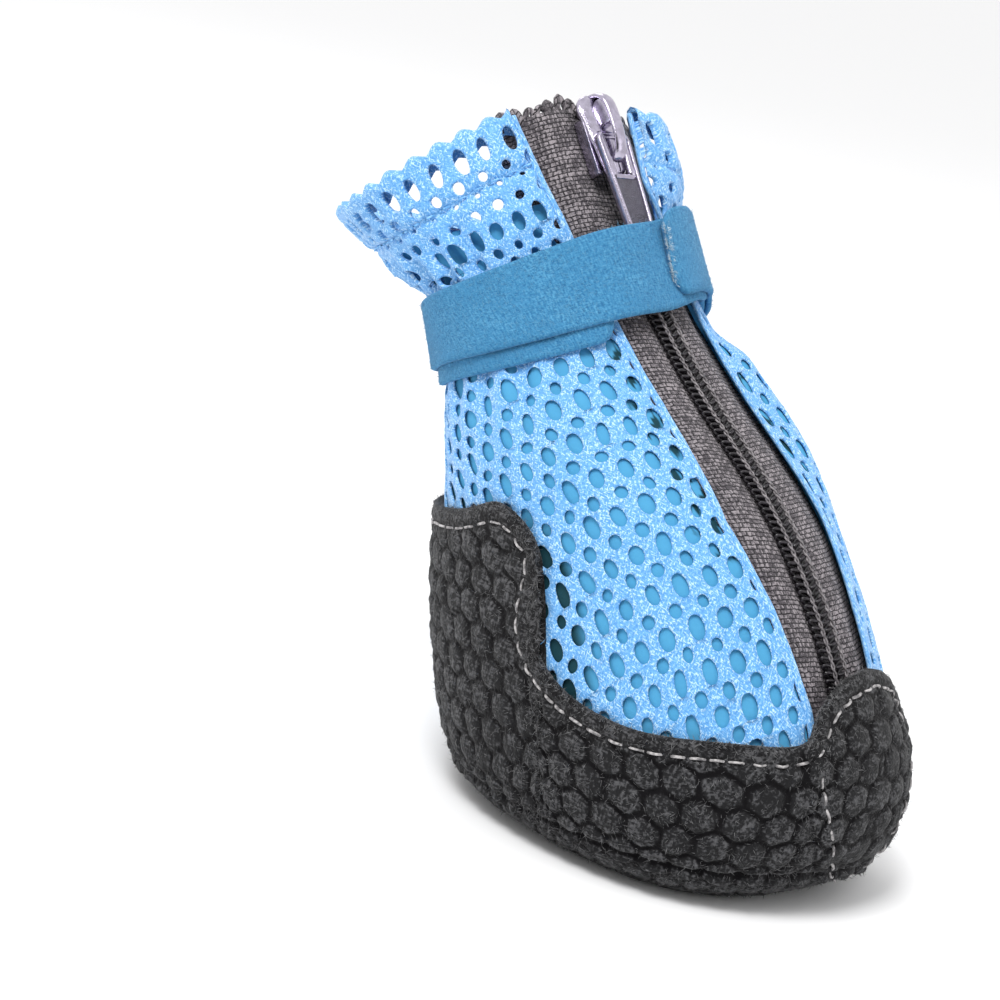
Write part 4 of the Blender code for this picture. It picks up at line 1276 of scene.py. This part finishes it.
    def cup(self) -> tuple[np.ndarray, np.ndarray, int]:
        """The whole cup's grid of points, with its pad values and its outer rows' count."""
        base = self.last.surface(np.zeros(self.count), self.foot, self.wall)
        middle = base.mean(axis=0)
        under = base - middle
        length = np.linalg.norm(under[:, :2], axis=1, keepdims=True)
        under = under * (length - 1.2 * MM) / length
        rows, pads = [], []
        for share in np.concatenate([[0.03], np.linspace(0.06, 1.0, self.floor_rows - 1)]):
            place = middle + under * share
            warp = 0.3 * MM * wobble(place[:, 0], place[:, 1], 12.0 * MM, 0.8)
            inside = self.pads(place[:, 0] + warp, place[:, 1] - middle[1] + warp, self.lug_pitch)
            pad = step(inside, 0.20 * MM, 0.75 * MM)
            rough = 0.18 * MM * wobble(place[:, 0], place[:, 1], 2.2 * MM, 2.0)
            place[:, 2] = self.lug * (1.0 - pad) + self.last.lift(place[:, 1] + self.last.middle_y)
            place[:, 2] += np.maximum(rough, 0.0)
            rows.append(place)
            pads.append(pad)
        shares = np.concatenate([np.linspace(0.0, 0.42, 30)[1:], np.linspace(0.42, 1.0, 54)[1:]])
        plain = [self.wall_point(share, self.wall) for share in np.concatenate([[0.0], shares])]
        up = np.cumsum(np.linalg.norm(np.diff(np.array(plain), axis=0), axis=2), axis=0)
        mid = plain[30]
        gaps = np.linalg.norm(np.roll(mid, -1, axis=0) - mid, axis=1)
        run = np.concatenate([[0.0], np.cumsum(gaps)[:-1]])
        run = np.where(self.side > 0, run, np.cumsum(gaps)[-1] - run)
        edge = self.last.surface(self.ring, self.top, self.wall + self.lift(self.ring, self.top))
        stitches, tab_side = self.tab_line(0.0), self.tab_line(self.tab_border)
        for number, share in enumerate(shares):
            rise = up[number]
            ring = share * self.ring
            turn = self.foot + (self.top - self.foot) * smooth(share)
            to_edge = self.nearest(plain[number + 1], edge)
            warp = 0.65 * MM * wobble(run, rise, 8.0 * MM, 0.5)
            inside = self.pads(run + warp + 2.4 * MM, rise + 0.8 * warp + 0.8 * MM, self.side_pitch)
            pad = step(inside, 0.14 * MM, 0.62 * MM)
            border = step(to_edge, 2.7 * MM, 1.6 * MM)
            dome = step(inside, 0.0, 2.4 * MM) * 0.22
            out = -self.groove * (1.0 - pad) * (0.12 + 0.88 * border) + dome * MM * border
            seam = bell(ring, self.seam_ring, 0.045)
            lip = bell(ring, self.seam_ring - 0.14, 0.08)
            out = out - 0.9 * MM * seam + 0.60 * MM * lip * (0.75 + 0.45 * wobble(run, rise, 1.5 * MM, 3.0))
            out = out - 0.32 * MM * bell(to_edge, self.stitch_inset, 0.5 * MM)
            out = out + 0.22 * MM * bell(to_edge, 1.1 * MM, 0.9 * MM)
            tab = step(self.on_tab(ring, turn, self.tab_border), -0.6, 2.2) * (ring > 0.7)
            to_side = self.nearest(plain[number + 1], tab_side)
            to_stitch = self.nearest(plain[number + 1], stitches)
            out = out + 0.62 * MM * tab * (1.0 - step(ring, 2.5, 0.3))
            crease = bell(to_side, 0.0, 0.55 * MM) + 0.7 * bell(to_stitch, 0.0, 0.5 * MM)
            out = out - 0.30 * MM * crease
            out = out + 0.20 * MM * wobble(run, rise, 2.3 * MM, 1.0)
            out = out + 0.13 * MM * wobble(run, rise, 1.0 * MM, 6.0)
            rows.append(self.wall_point(share, self.wall + out))
            # The pad value is lowered in the grooves, at the bottom seam and along the creases, where it
            # paints shade.
            tone = pad * border + (1.0 - border) * (0.50 + 0.25 * pad)
            pads.append(np.clip(tone - seam - 0.45 * crease, 0.0, 1.0))
        outer = len(rows)
        for share, out in self.inner_rows:
            rows.append(self.wall_point(share, out * MM))
            pads.append(np.full(self.count, 0.6))
        return np.array(rows), np.array(pads), outer

    @staticmethod
    def stitched(path: np.ndarray, normals: np.ndarray, seed: int) -> list[tuple[np.ndarray, np.ndarray]]:
        """Short uneven stitches along a line, sunk at both ends."""
        reach = reach_along(path)
        random = np.random.default_rng(seed)
        made = []
        start = 0.4 * MM
        while start < reach[-1] - 3.0 * MM:
            size = random.uniform(1.9, 2.9) * MM
            steps = np.linspace(start, start + size, 7)
            middle = np.stack([np.interp(steps, reach, path[:, i]) for i in range(3)], 1)
            outward = np.stack([np.interp(steps, reach, normals[:, i]) for i in range(3)], 1)
            bow = (np.array([-0.35, 0.02, 0.16, 0.20, 0.16, 0.02, -0.35]) + random.uniform(-0.05, 0.05)) * MM
            sway = np.cross(outward, middle[-1] - middle[0]) * random.uniform(-0.11, 0.11)
            radius = random.uniform(0.20, 0.28) * MM
            line = middle + outward * bow[:, None] + sway * np.sin(np.linspace(0.0, math.pi, 7))[:, None]
            made.append(tube(line, radius, 6))
            start += size + random.uniform(0.6, 1.9) * MM
        return made

    def dashes(self) -> tuple[np.ndarray, np.ndarray]:
        """The pale stitches under the edge, and down the toe tab's sides."""
        ring, turn = self.edge_line(self.stitch_inset)
        keep = np.roll(np.arange(self.count), self.count // 2)
        ring, turn = ring[keep], turn[keep]
        path = self.last.surface(ring, turn, self.wall - 0.06 * MM + self.lift(ring, turn))
        parts = self.stitched(path, self.last.normals(ring, turn), 8)
        table = np.array(self.tab_stitches)
        rings = np.linspace(table[0, 0], table[-1, 0], 90)
        turns = np.interp(rings, table[:, 0], table[:, 1])
        for side in (turns, 2.0 * self.tab_turn - turns):
            path = self.last.surface(rings, side, self.wall + 0.58 * MM + self.lift(rings, side))
            parts += self.stitched(path, self.last.normals(rings, side), 9)
        return gather(parts)

    def make(self) -> None:
        """Build the pieces."""
        rows, pads, outer = self.cup()
        faces = grid_faces(len(rows), self.count, True)
        inner = rows[-1].mean(axis=0)
        inner[2] = self.inner_floor
        hub = rows.shape[0] * self.count
        points = np.concatenate([rows.reshape(-1, 3), rows[0].mean(axis=0, keepdims=True), inner[None]])
        fan = [[k, hub, (k + 1) % self.count] for k in range(self.count)]
        back = hub - self.count
        fan += [[back + k, back + (k + 1) % self.count, hub + 1] for k in range(self.count)]
        # A low pad value paints shade: the grooves, the bottom seam and the creases take the dark groove
        # colour.
        values = {"pad": np.append(pads.ravel(), [1.0, 0.6])}
        cup = build("sole_cup", points, faces.tolist() + fan, self.cloth, values=values)
        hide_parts("sole")
        points, faces = self.dashes()
        build("rand_stitches", points, faces, self.thread)
        self.fuzz(rows[: outer + 3])

    def fuzz(self, rows: np.ndarray) -> None:
        """Short pale fibres over the brushed cloth, thicker at its raw edges."""
        random = np.random.default_rng(3)
        count = self.fibres
        level = self.floor_rows + (len(rows) - self.floor_rows - 2) * random.uniform(0.0, 1.0, count)
        raw = random.uniform(size=count)
        level = np.where(raw < 0.10, random.normal(63.0, 1.6, count), level)
        level = np.where(raw > 0.86, len(rows) - 2.5 - np.abs(random.normal(0.0, 1.2, count)), level)
        level = np.clip(level, 1, len(rows) - 2.1)
        column = random.uniform(0.0, self.count - 1.01, count)
        j, k = level.astype(int), column.astype(int)
        share = (column - k)[:, None]
        up = rows[j + 1, k] - rows[j, k]
        around = rows[j, k + 1] - rows[j, k]
        normal = unit(np.cross(up, around))
        roots = rows[j, k] + around * share + up * random.uniform(size=(count, 1)) - normal * 0.05 * MM
        points, faces = hairs(roots, normal, self.fibre_length, self.fibre_width, 0.22, 4)
        points[:, 2] = np.maximum(points[:, 2], 0.0)
        build("sole_fibres", points, hair_faces(faces), self.fibre)


@dataclass
class Strap:
    """The brushed strap, wound almost twice round the ankle."""

    last: Last
    pile: bpy.types.Material
    fibre: bpy.types.Material
    hook: bpy.types.Material
    width: float = 17.0 * MM
    thick: float = 1.3 * MM
    start: float = 30.0
    end: float = 718.0
    corner: float = 4.2 * MM
    gap: float = 0.3 * MM
    lift_top: float = 3.8 * MM
    lift_foot: float = 1.2 * MM
    drop: float = 3.0 * MM
    rise: float = 1.2 * MM
    nap_count: int = 24000
    hook_count: int = 700

    def half(self, path: np.ndarray) -> np.ndarray:
        """Half the strap's width along its path, less at its round corners."""
        round_turn = math.degrees(self.corner / (self.last.width * 0.40))
        into = np.clip(np.minimum(path - self.start, self.end - path) / round_turn, 0.0, 1.0)
        return self.width / 2.0 - self.corner * (1.0 - np.sqrt(1.0 - (1.0 - into) ** 2))

    def place(self, path: np.ndarray, across: np.ndarray, out: np.ndarray) -> np.ndarray:
        """Points of the strap, straight across its width.

        Args:
            path: The turn along the strap, counted on from its inner end.
            across: From -1 at its lower edge to 1 at its upper one.
            out: The distance outward from its inner face.

        Returns:
            The points.
        """
        folded = (path + 180.0) % 360.0 - 180.0
        second = step(path, self.end - 360.0, 32.0)
        over_zip = 1.0 - step(np.abs(folded), 12.0, 48.0)
        shift = -self.drop * (1.0 - step(path, 110.0, 150.0))
        shift = shift + self.rise * step(path, self.end - 60.0, 50.0)
        line = np.interp(folded, self.last.strap_turns, self.last.strap_rings)
        half = self.half(path)
        ends = []
        for edge, lift in ((-1.0, self.lift_foot), (1.0, self.lift_top)):
            ring = self.last.climb(line, folded, shift + edge * half)
            outward = self.gap + second * (self.thick + self.gap) + over_zip * lift + out
            ends.append(self.last.surface(ring, folded, outward))
        share = ((across + 1.0) / 2.0)[..., None]
        return ends[0] * (1.0 - share) + ends[1] * share

    def band(self) -> tuple[np.ndarray, np.ndarray]:
        """The grid of points round the strap's section, and their places on the cloth."""
        path = np.linspace(self.start, self.end, 420)
        corner = np.array([0.02, 0.25, 0.7])
        path = np.concatenate([self.start + corner, path[2:-2], self.end - corner[::-1]])
        section = [(a, 1.0) for a in np.linspace(-0.93, 0.93, 18)]
        section += [(0.985, 0.86), (1.0, 0.5), (0.985, 0.14)]
        section += [(a, 0.0) for a in np.linspace(0.93, -0.93, 5)]
        section += [(-0.985, 0.14), (-1.0, 0.5), (-0.985, 0.86)]
        rows, cloth = [], []
        reach = np.radians(path) * 27.0 * MM
        for across, share in section:
            level = np.full_like(path, across)
            soft = 0.10 * MM * wobble(reach, level * 8.0 * MM, 6.0 * MM, 2.0) * share
            rows.append(self.place(path, level, share * self.thick + soft))
            cloth.append(np.stack([reach, level * 8.0 * MM], 1))
        return np.array(rows).transpose(1, 0, 2), np.array(cloth).transpose(1, 0, 2)

    def make(self) -> None:
        """Build the pieces."""
        rows, cloth = self.band()
        points, cloth = rows.reshape(-1, 3), cloth.reshape(-1, 2)
        faces = sleeve_faces(rows.shape[0], rows.shape[1])
        band = build("strap_band", points, faces, self.pile, cloth=cloth)
        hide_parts("strap")
        self.nap()
        self.hooks()

    def nap(self) -> None:
        """The short pile on the outer face."""
        random = np.random.default_rng(12)
        count = self.nap_count
        path = random.uniform(self.start + 0.5, self.end - 0.5, count)
        across = random.uniform(-1.0, 1.0, count)
        roots = self.place(path, across, np.full(count, self.thick))
        normal = self.place(path, across, np.full(count, self.thick + MM)) - roots
        points, faces = hairs(roots - normal * 0.05, normal / MM, 0.55 * MM, 0.07 * MM, 0.5, 13)
        build("strap_nap", points, hair_faces(faces), self.fibre)

    def hooks(self) -> None:
        """Pale fibres caught along the free end."""
        random = np.random.default_rng(21)
        count = self.hook_count
        clump = random.uniform(-0.95, 0.95, 26)[random.integers(0, 26, count)]
        path = self.end - np.abs(random.normal(0.0, 0.55, count))
        across = np.clip(clump + random.normal(0.0, 0.035, count), -0.97, 0.97)
        roots = self.place(path, across, np.full(count, self.thick * 0.6))
        normal = self.place(path, across, np.full(count, self.thick * 0.6 + MM)) - roots
        points, faces = hairs(roots, normal / MM, 0.85 * MM, 0.12 * MM, 0.5, 22)
        build("strap_hooks", points, hair_faces(faces), self.hook)


@dataclass
class Zip:
    """The tapes, the chain, the slider and its pull tab."""

    last: Last
    tape: bpy.types.Material
    coil: bpy.types.Material
    thread: bpy.types.Material
    metal: bpy.types.Material
    panel: bpy.types.Material
    depth: float = -1.9 * MM
    crown: float = 0.3 * MM
    underlap: float = 4.5 * MM
    bed: float = 3.2 * MM
    tape_rings: tuple[float, float] = (2.62, 8.97)
    chain: tuple[float, float] = (3.04, 8.66)
    chain_reach: float = 98.0 * MM
    coil_pitch: float = 1.35 * MM
    seam_line: float = 1.62 * MM
    slider_ring: float = 8.712
    hinge_place: float = -0.4 * MM
    hinge_height: float = 2.5 * MM
    arch: tuple[tuple[float, float], ...] = (
        (7.9, 1.2), (7.3, 3.2), (5.6, 4.55), (2.6, 4.85), (-0.8, 4.75), (-3.4, 4.1), (-4.9, 2.8), (-5.3, 1.0),
    )

    def on_tape(self, ring: np.ndarray, lateral: np.ndarray, out: np.ndarray | float) -> np.ndarray:
        """Points at a height over the tapes' outer face, beside the zip's middle."""
        return self.last.surface(ring, self.last.turn_at(ring, lateral), self.depth + self.crown + out)

    def tapes(self) -> None:
        """Both woven tapes, with their upper ends frayed into loops."""
        for side, name in ((1.0, "tape_right"), (-1.0, "tape_left")):
            rings = np.linspace(*self.tape_rings, 260)
            throat = self.last.throat(rings)[:, None]
            reach = throat[:, 0] + self.underlap
            parted = 1.4 * MM * step(rings, self.slider_ring + 0.02, 0.12)
            share = np.linspace(0.0, 1.0, 40)
            inner = 0.1 * MM + parted[:, None]
            lateral = inner + (reach[:, None] - inner) * share
            ring = np.broadcast_to(rings[:, None], lateral.shape)
            sink = self.crown * step(lateral / throat, 0.62, 0.26)
            ripple = 0.10 * MM * wobble(ring * 12.0 * MM, lateral, 6.0 * MM, side)
            roll = np.clip((lateral - self.bed) / (throat - self.bed), 0.0, 1.0)
            ripple = ripple + 0.85 * MM * np.sin(math.pi * roll) ** 0.7 - 0.25 * MM * (lateral < self.bed)
            top = self.on_tape(ring, side * lateral, ripple - sink)
            low = self.on_tape(ring, side * lateral, ripple - sink - 0.6 * MM)[:, ::-1]
            rows = np.concatenate([top, low], 1)
            length = reach_along(top[:, 0])
            cloth = np.stack([lateral, np.broadcast_to(length[:, None], lateral.shape)], -1)
            cloth = np.concatenate([cloth, cloth[:, ::-1]], 1)
            faces = sleeve_faces(*rows.shape[:2])
            points, cloth = rows.reshape(-1, 3), cloth.reshape(-1, 2)
            made = build(name, points, faces, self.tape, cloth=cloth)
            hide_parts(f"zip_{name}")
            points, faces = self.fray(side, reach[-1])
            build(f"{name}_fray", points, faces, self.tape, cloth=points[:, :2])

    def fray(self, side: float, width: float) -> tuple[np.ndarray, np.ndarray]:
        """The loops of loose yarn along a tape's upper end."""
        parts = []
        random = np.random.default_rng(6)
        angle = np.linspace(-0.7, math.pi + 0.7, 11)
        for place in np.arange(3.0 * MM, width - 3.4 * MM, 2.5 * MM):
            tall = random.uniform(1.2, 2.9)
            around = side * (place + random.uniform(0.7, 1.1) * MM * np.cos(angle))
            start = np.full(11, self.tape_rings[1])
            rise = self.last.climb(start, np.zeros(11), (0.1 + tall * np.sin(angle)) * MM)
            tip = random.uniform(-0.9, 0.5) * MM * np.sin(np.clip(angle, 0.0, math.pi)) - 0.2 * MM
            parts.append(tube(self.on_tape(rise, around, tip), random.uniform(0.52, 0.70) * MM, 8))
        return gather(parts)

    def chains(self) -> None:
        """The closed coil's loops, and the threads that sew it to the tapes."""
        distance = np.linspace(0.0, self.chain_reach, 2400)
        coarse = np.linspace(0.0, self.chain_reach, 120)
        rings = [self.chain[0]]
        for rise in np.diff(coarse):
            rings.append(float(self.last.climb(np.array([rings[-1]]), 0.0, np.array([rise]))[0]))
        ring = np.interp(distance, coarse, rings)
        kept = ring < self.chain[1] + 0.05
        distance, ring = distance[kept], ring[kept]
        parts = []
        for side in (-1.0, 1.0):
            phase = 2.0 * math.pi * distance / self.coil_pitch
            lateral = side * (self.seam_line + 1.50 * MM * np.cos(phase))
            height = 0.72 * MM + 0.52 * MM * np.sin(phase) - 0.10 * MM * np.cos(phase)
            path = self.on_tape(ring + 0.035 * np.cos(phase), lateral, height)
            parts.append(tube(path[::2], 0.31 * MM, 6))
        points, faces = gather(parts)
        coil = build("coil_loops", points, faces, self.coil)
        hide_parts("zip_coil")
        parts = []
        for side in (-1.0, 1.0):
            for twist in (0.0, math.pi):
                phase = 2.0 * math.pi * distance / (3.0 * MM) + twist
                lateral = side * self.seam_line + 0.30 * MM * np.sin(phase)
                height = 1.52 * MM + 0.14 * MM * np.cos(phase)
                path = self.on_tape(ring, lateral, height)[::4]
                parts.append(tube(path, 0.18 * MM, 6))
        points, faces = gather(parts)
        build("chain_stitches", points, faces, self.thread)

    def frame(self) -> Matrix:
        """A frame on the slider's middle: x across, y up the zip, z outward."""
        low, here, high = self.last.surface(self.slider_ring + np.array([-0.05, 0.0, 0.05]), np.zeros(3))
        up = Vector(high - low).normalized()
        across = Vector((1.0, 0.0, 0.0))
        outward = across.cross(up)
        turned = Matrix((across, up, outward)).transposed().to_4x4()
        return Matrix.Translation(Vector(here)) @ turned

    def settle(self, points: np.ndarray, shift: float = 0.0, height: float = 0.0) -> np.ndarray:
        """Move points from the slider's frame, in millimetres, to the boot's."""
        frame = np.array(self.frame())
        local = points * MM + np.array([0.0, shift, height])
        return local @ frame[:3, :3].T + frame[:3, 3]

    @staticmethod
    def slab(
        outline: np.ndarray, low: float, high: float, edge: float, crown: float = 0.0
    ) -> tuple[np.ndarray, np.ndarray]:
        """A plate with rounded edges and a slight crown, in millimetres."""
        middle = outline.mean(axis=0)
        inward = unit(middle - outline)
        rows = []
        for inset, z in (
            (edge * 3.0, low), (edge, low), (edge * 0.3, low + edge * 0.3), (0.0, low + edge),
            (0.0, high - edge), (edge * 0.3, high - edge * 0.3), (edge, high), (edge * 3.0, high + crown),
        ):
            rows.append(np.column_stack([outline + inward * inset, np.full(len(outline), z)]))
        count = len(outline)
        points = np.concatenate(rows + [np.array([[*middle, low], [*middle, high + crown * 1.4]])])
        faces = grid_faces(len(rows), count, True)
        k = np.arange(count)
        after = (k + 1) % count
        hub, last = len(points) - 2, (len(rows) - 1) * count
        low_fan = np.stack([k, np.full(count, hub), np.full(count, hub), after], 1)
        high_fan = np.stack([last + k, last + after, np.full(count, hub + 1), np.full(count, hub + 1)], 1)
        return points, np.concatenate([faces, low_fan, high_fan])

    @staticmethod
    def rounded(
        length: float, top: float, foot: float, corner: float, low: float, count: int = 10
    ) -> np.ndarray:
        """A four-sided outline with round corners, in millimetres."""
        points = []
        for x_side, y_side, start in ((1, 1, 0), (-1, 1, 90), (-1, -1, 180), (1, -1, 270)):
            wide = top if y_side > 0 else foot
            x = x_side * (wide / 2.0 - corner)
            y = low + corner if y_side < 0 else low + length - corner
            for step in np.linspace(0.0, 90.0, count):
                angle = math.radians(start + step)
                points.append((x + corner * math.cos(angle), y + corner * math.sin(angle)))
        return np.array(points)

    def slider(self) -> None:
        """The slider: shaped plates, flanges, neck and the arched bridge."""
        shield = self.rounded(16.6, 10.0, 7.4, 3.8, -8.3, 12)
        shield[:, 0] *= 1.0 - 0.13 * bell(shield[:, 1], -1.6, 3.2)
        parts = [self.slab(shield, 0.45, 1.55, 0.40, 0.75)]
        parts.append(self.slab(self.rounded(14.0, 8.4, 6.8, 1.8, -6.3), -4.2, -3.1, 0.3))
        parts.append(self.slab(self.rounded(2.6, 2.2, 1.8, 0.5, 5.3), -3.6, 1.0, 0.1))
        for side in (-1.0, 1.0):
            flange = self.rounded(11.2, 1.1, 1.1, 0.5, -7.6) + np.array([side * 4.15, 0.0])
            parts.append(self.slab(flange, -1.1, 1.25, 0.25))
        curve = Spline(self.arch).at(np.linspace(0.0, len(self.arch) - 1.0, 40))
        bridge = np.column_stack([np.zeros(40), curve])
        facing = np.column_stack([np.zeros(40), np.gradient(curve[:, 1]), -np.gradient(curve[:, 0])])
        parts.append(tube(bridge, 1.45, 16, 0.42, facing))
        parts.append(self.slab(self.rounded(5.2, 2.3, 2.3, 0.5, 1.6), 1.2, 4.6, 0.2))
        points, faces = gather(parts)
        made = build("slider_body", self.settle(points), self.trim(faces), self.metal)
        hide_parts("zip_slider")

    @staticmethod
    def trim(faces: np.ndarray) -> list[list[int]]:
        """Faces with repeated corners taken out."""
        return [list(dict.fromkeys(face)) for face in faces.tolist()]

    @staticmethod
    def ring_bar(outline: np.ndarray, wide: float, half: float) -> tuple[np.ndarray, np.ndarray]:
        """A closed bar of rounded section along an outline, in millimetres."""
        count = len(outline)
        tangent = unit(np.roll(outline, -1, axis=0) - np.roll(outline, 1, axis=0))
        inward = np.column_stack([-tangent[:, 1], tangent[:, 0]])
        section = ((0.0, 0.55), (0.08, 0.85), (0.3, 1.0), (0.7, 1.0), (0.92, 0.85), (1.0, 0.55),
                   (1.0, -0.55), (0.92, -0.85), (0.7, -1.0), (0.3, -1.0), (0.08, -0.85), (0.0, -0.55))
        rows = [np.column_stack([outline + inward * wide * a, np.full(count, half * b)]) for a, b in section]
        points = np.concatenate(rows)
        faces = grid_faces(len(rows) + 1, count, True) % len(points)
        return points, faces[:, ::-1]

    @staticmethod
    def bar(
        corners: Sequence[tuple[float, float]], radius: float, sides: int, flat: float
    ) -> tuple[np.ndarray, np.ndarray]:
        """A round bar in the tab's plane, in millimetres."""
        place = np.linspace(0.0, len(corners) - 1.0, 12)
        x, y = (np.interp(place, range(len(corners)), values) for values in zip(*corners))
        facing = np.tile([[0.0, 0.0, 1.0]], (12, 1))
        return tube(np.column_stack([x, y, np.zeros(12)]), radius, sides, flat, facing)

    def pull(self) -> None:
        """The pull tab: a raised rim, a window round the bridge and a grained panel."""
        outer = self.rounded(22.2, 8.4, 6.4, 2.0, -21.5, 14)
        parts = [self.ring_bar(outer, 0.80, 0.85)]
        for side in (-1.0, 1.0):
            cheek = [(side * 2.95, 0.1), (side * 2.6, -4.05), (side * 2.45, -8.2)]
            parts.append(self.bar(cheek, 0.85, 10, 0.85))
        parts.append(self.bar([(-3.2, 0.0), (3.2, 0.0)], 0.70, 12, 1.0))
        parts.append(self.bar([(-2.7, -8.3), (2.7, -8.3)], 0.62, 10, 1.1))
        hole = self.rounded(3.0, 3.6, 3.6, 1.45, -20.8, 12)
        parts.append(self.ring_bar(hole, 0.5, 0.72))
        points, faces = gather(parts)
        points = self.settle(points, self.hinge_place, self.hinge_height)
        rim = build("pull_rim", points, faces, self.metal, "pull_tab")
        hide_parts("zip_pull")
        points, faces = self.slab(self.rounded(10.2, 6.9, 5.6, 0.5, -18.3, 6), -0.42, 0.35, 0.08)
        points = self.settle(points, self.hinge_place, self.hinge_height)
        build("pull_panel", points, self.trim(faces), self.panel, "pull_tab")

    def make(self) -> None:
        """Build the pieces."""
        self.tapes()
        self.chains()
        self.slider()
        self.pull()


@dataclass
class Studio:
    """The floor, the lights and the camera."""

    azimuth: float = -50.0
    elevation: float = 13.0
    roll: float = 12.0
    distance: float = 0.520
    scale: float = 5.5
    target: Color = (0.0, -0.0053, 0.055)
    center: tuple[float, float] = (636.0, 504.0)
    picture: float = 1000.0
    sensor: float = 36.0
    floor_half: float = 6.0
    dark_wall: Color = (-0.72, -0.66, 0.05)

    def axes(self) -> tuple[Vector, Vector, Vector]:
        """The camera's right, up and back directions."""
        a, e = math.radians(self.azimuth), math.radians(self.elevation)
        right = Vector((math.cos(a), math.sin(a), 0.0))
        up = Vector((-math.sin(a) * math.sin(e), math.cos(a) * math.sin(e), math.cos(e)))
        back = Vector((math.sin(a) * math.cos(e), -math.cos(a) * math.cos(e), math.sin(e)))
        return right, up, back

    def camera(self) -> None:
        """Stand the camera at the photograph's angle to the boot."""
        right, up, back = self.axes()
        r = math.radians(self.roll)
        level = right * math.cos(r) + up * math.sin(r)
        high = up * math.cos(r) - right * math.sin(r)
        data = bpy.data.cameras.new("camera")
        data.sensor_width = self.sensor
        data.lens = self.scale / MM * self.distance * self.sensor / self.picture
        data.shift_x = 0.5 - self.center[0] / self.picture
        data.shift_y = self.center[1] / self.picture - 0.5
        data.clip_start = 0.01
        camera = bpy.data.objects.new("camera", data)
        bpy.context.scene.collection.objects.link(camera)
        place = Vector(self.target) + back * self.distance
        camera.matrix_world = Matrix.Translation(place) @ Matrix((level, high, back)).transposed().to_4x4()
        bpy.context.scene.camera = camera

    def light(self, name: str, place: Color, size: float, power: float) -> None:
        """Add one soft white lamp that faces the boot."""
        data = bpy.data.lights.new(name, "AREA")
        data.energy = power
        data.size = size
        lamp = bpy.data.objects.new(name, data)
        bpy.context.scene.collection.objects.link(lamp)
        lamp.location = place
        aim = Vector(self.target) - Vector(place)
        lamp.rotation_euler = aim.to_track_quat("-Z", "Y").to_euler()

    def sky(self, tree: bpy.types.NodeTree) -> None:
        """A bright studio with one dark wall, which metal mirrors."""
        where = tree.nodes.new("ShaderNodeTexCoord")
        dot = tree.nodes.new("ShaderNodeVectorMath")
        dot.operation = "DOT_PRODUCT"
        dot.inputs[1].default_value = self.dark_wall
        tree.links.new(where.outputs["Generated"], dot.inputs[0])
        ramp = tree.nodes.new("ShaderNodeMapRange")
        ramp.interpolation_type = "SMOOTHSTEP"
        for name, value in (("From Min", 0.60), ("From Max", 0.90), ("To Min", 1.06), ("To Max", 0.10)):
            ramp.inputs[name].default_value = value
        tree.links.new(dot.outputs["Value"], ramp.inputs["Value"])
        tree.links.new(ramp.outputs["Result"], tree.nodes["Background"].inputs["Strength"])
        tree.nodes["Background"].inputs["Color"].default_value = (1.0, 1.0, 1.0, 1.0)

    def make(self) -> None:
        """Set up the studio."""
        self.camera()
        half = self.floor_half
        mesh = bpy.data.meshes.new("floor")
        ground = [(-half, -half, 0.0), (half, -half, 0.0), (half, half, 0.0), (-half, half, 0.0)]
        mesh.from_pydata(ground, [], [[0, 1, 2, 3]])
        shader = Shader("floor_paint", 0.9)
        shader.color((0.93, 0.93, 0.935))
        mesh.materials.append(shader.material)
        floor = bpy.data.objects.new("floor", mesh)
        bpy.context.scene.collection.objects.link(floor)
        world = bpy.data.worlds.new("studio")
        bpy.context.scene.world = world
        world.use_nodes = True
        self.sky(world.node_tree)
        self.light("key", (-0.45, -0.15, 0.85), 0.35, 6.0)
        self.light("fill", (0.35, -0.9, 0.45), 0.5, 0.7)
        self.light("rim_light", (0.4, 0.7, 0.8), 0.4, 1.3)
        view = bpy.context.scene.view_settings
        view.view_transform = "Standard"
        view.look = "None"
        view.exposure = 0.0
        view.gamma = 1.0


def corners(box: tuple[Vector, Vector]) -> list[list[float]]:
    """A box's two corners as plain lists."""
    return [list(corner) for corner in box]


def main() -> None:
    """Build the boot's looks, piece by piece."""
    logging.basicConfig(level=logging.INFO, format="%(message)s")
    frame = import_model()
    last = Last()
    chart = ClothChart(last)
    yarn = MeshYarn().make()
    thread = PlainYarn("pale_thread", (0.50, 0.48, 0.48), (0.13, 0.125, 0.13)).make()
    grey_thread = PlainYarn("zip_thread", (0.27, 0.25, 0.26), (0.08, 0.072, 0.078)).make()
    blue_thread = PlainYarn("hem_thread", (0.30, 0.60, 0.92), (0.10, 0.35, 0.70)).make()
    coil = PlainYarn("coil_black", (0.022, 0.018, 0.024), (0.006, 0.005, 0.007), 0.30).make()
    sole_fibre = PlainYarn("sole_fibre", (0.180, 0.180, 0.185), (0.010, 0.010, 0.011), 0.8).make()
    strap_fibre = PlainYarn("strap_fibre", (0.120, 0.330, 0.510), (0.045, 0.180, 0.340), 0.9).make()
    hook_fibre = PlainYarn("hook_fibre", (0.70, 0.78, 0.80), (0.35, 0.50, 0.60), 0.6).make()
    Studio().make()
    Upper(last, chart, yarn, LiningCloth().make()).make()
    Collar(last, yarn, blue_thread).make()
    Cup(last, SoleCloth().make(), thread, sole_fibre).make()
    insole = frame["nodes"]["insole"]
    insole.data.materials.clear()
    knit = PlainYarn("insole_knit", (0.10, 0.10, 0.11), (0.05, 0.05, 0.055), 0.9, 900.0).make()
    insole.data.materials.append(knit)
    Strap(last, StrapPile().make(), strap_fibre, hook_fibre).make()
    metal = DarkNickel().make()
    grained = DarkNickel("grained_nickel", (0.13, 0.125, 0.15), 0.42, 0.6).make()
    Zip(last, TapeWeave().make(), coil, grey_thread, metal, grained).make()


if __name__ == "__main__":
    main()
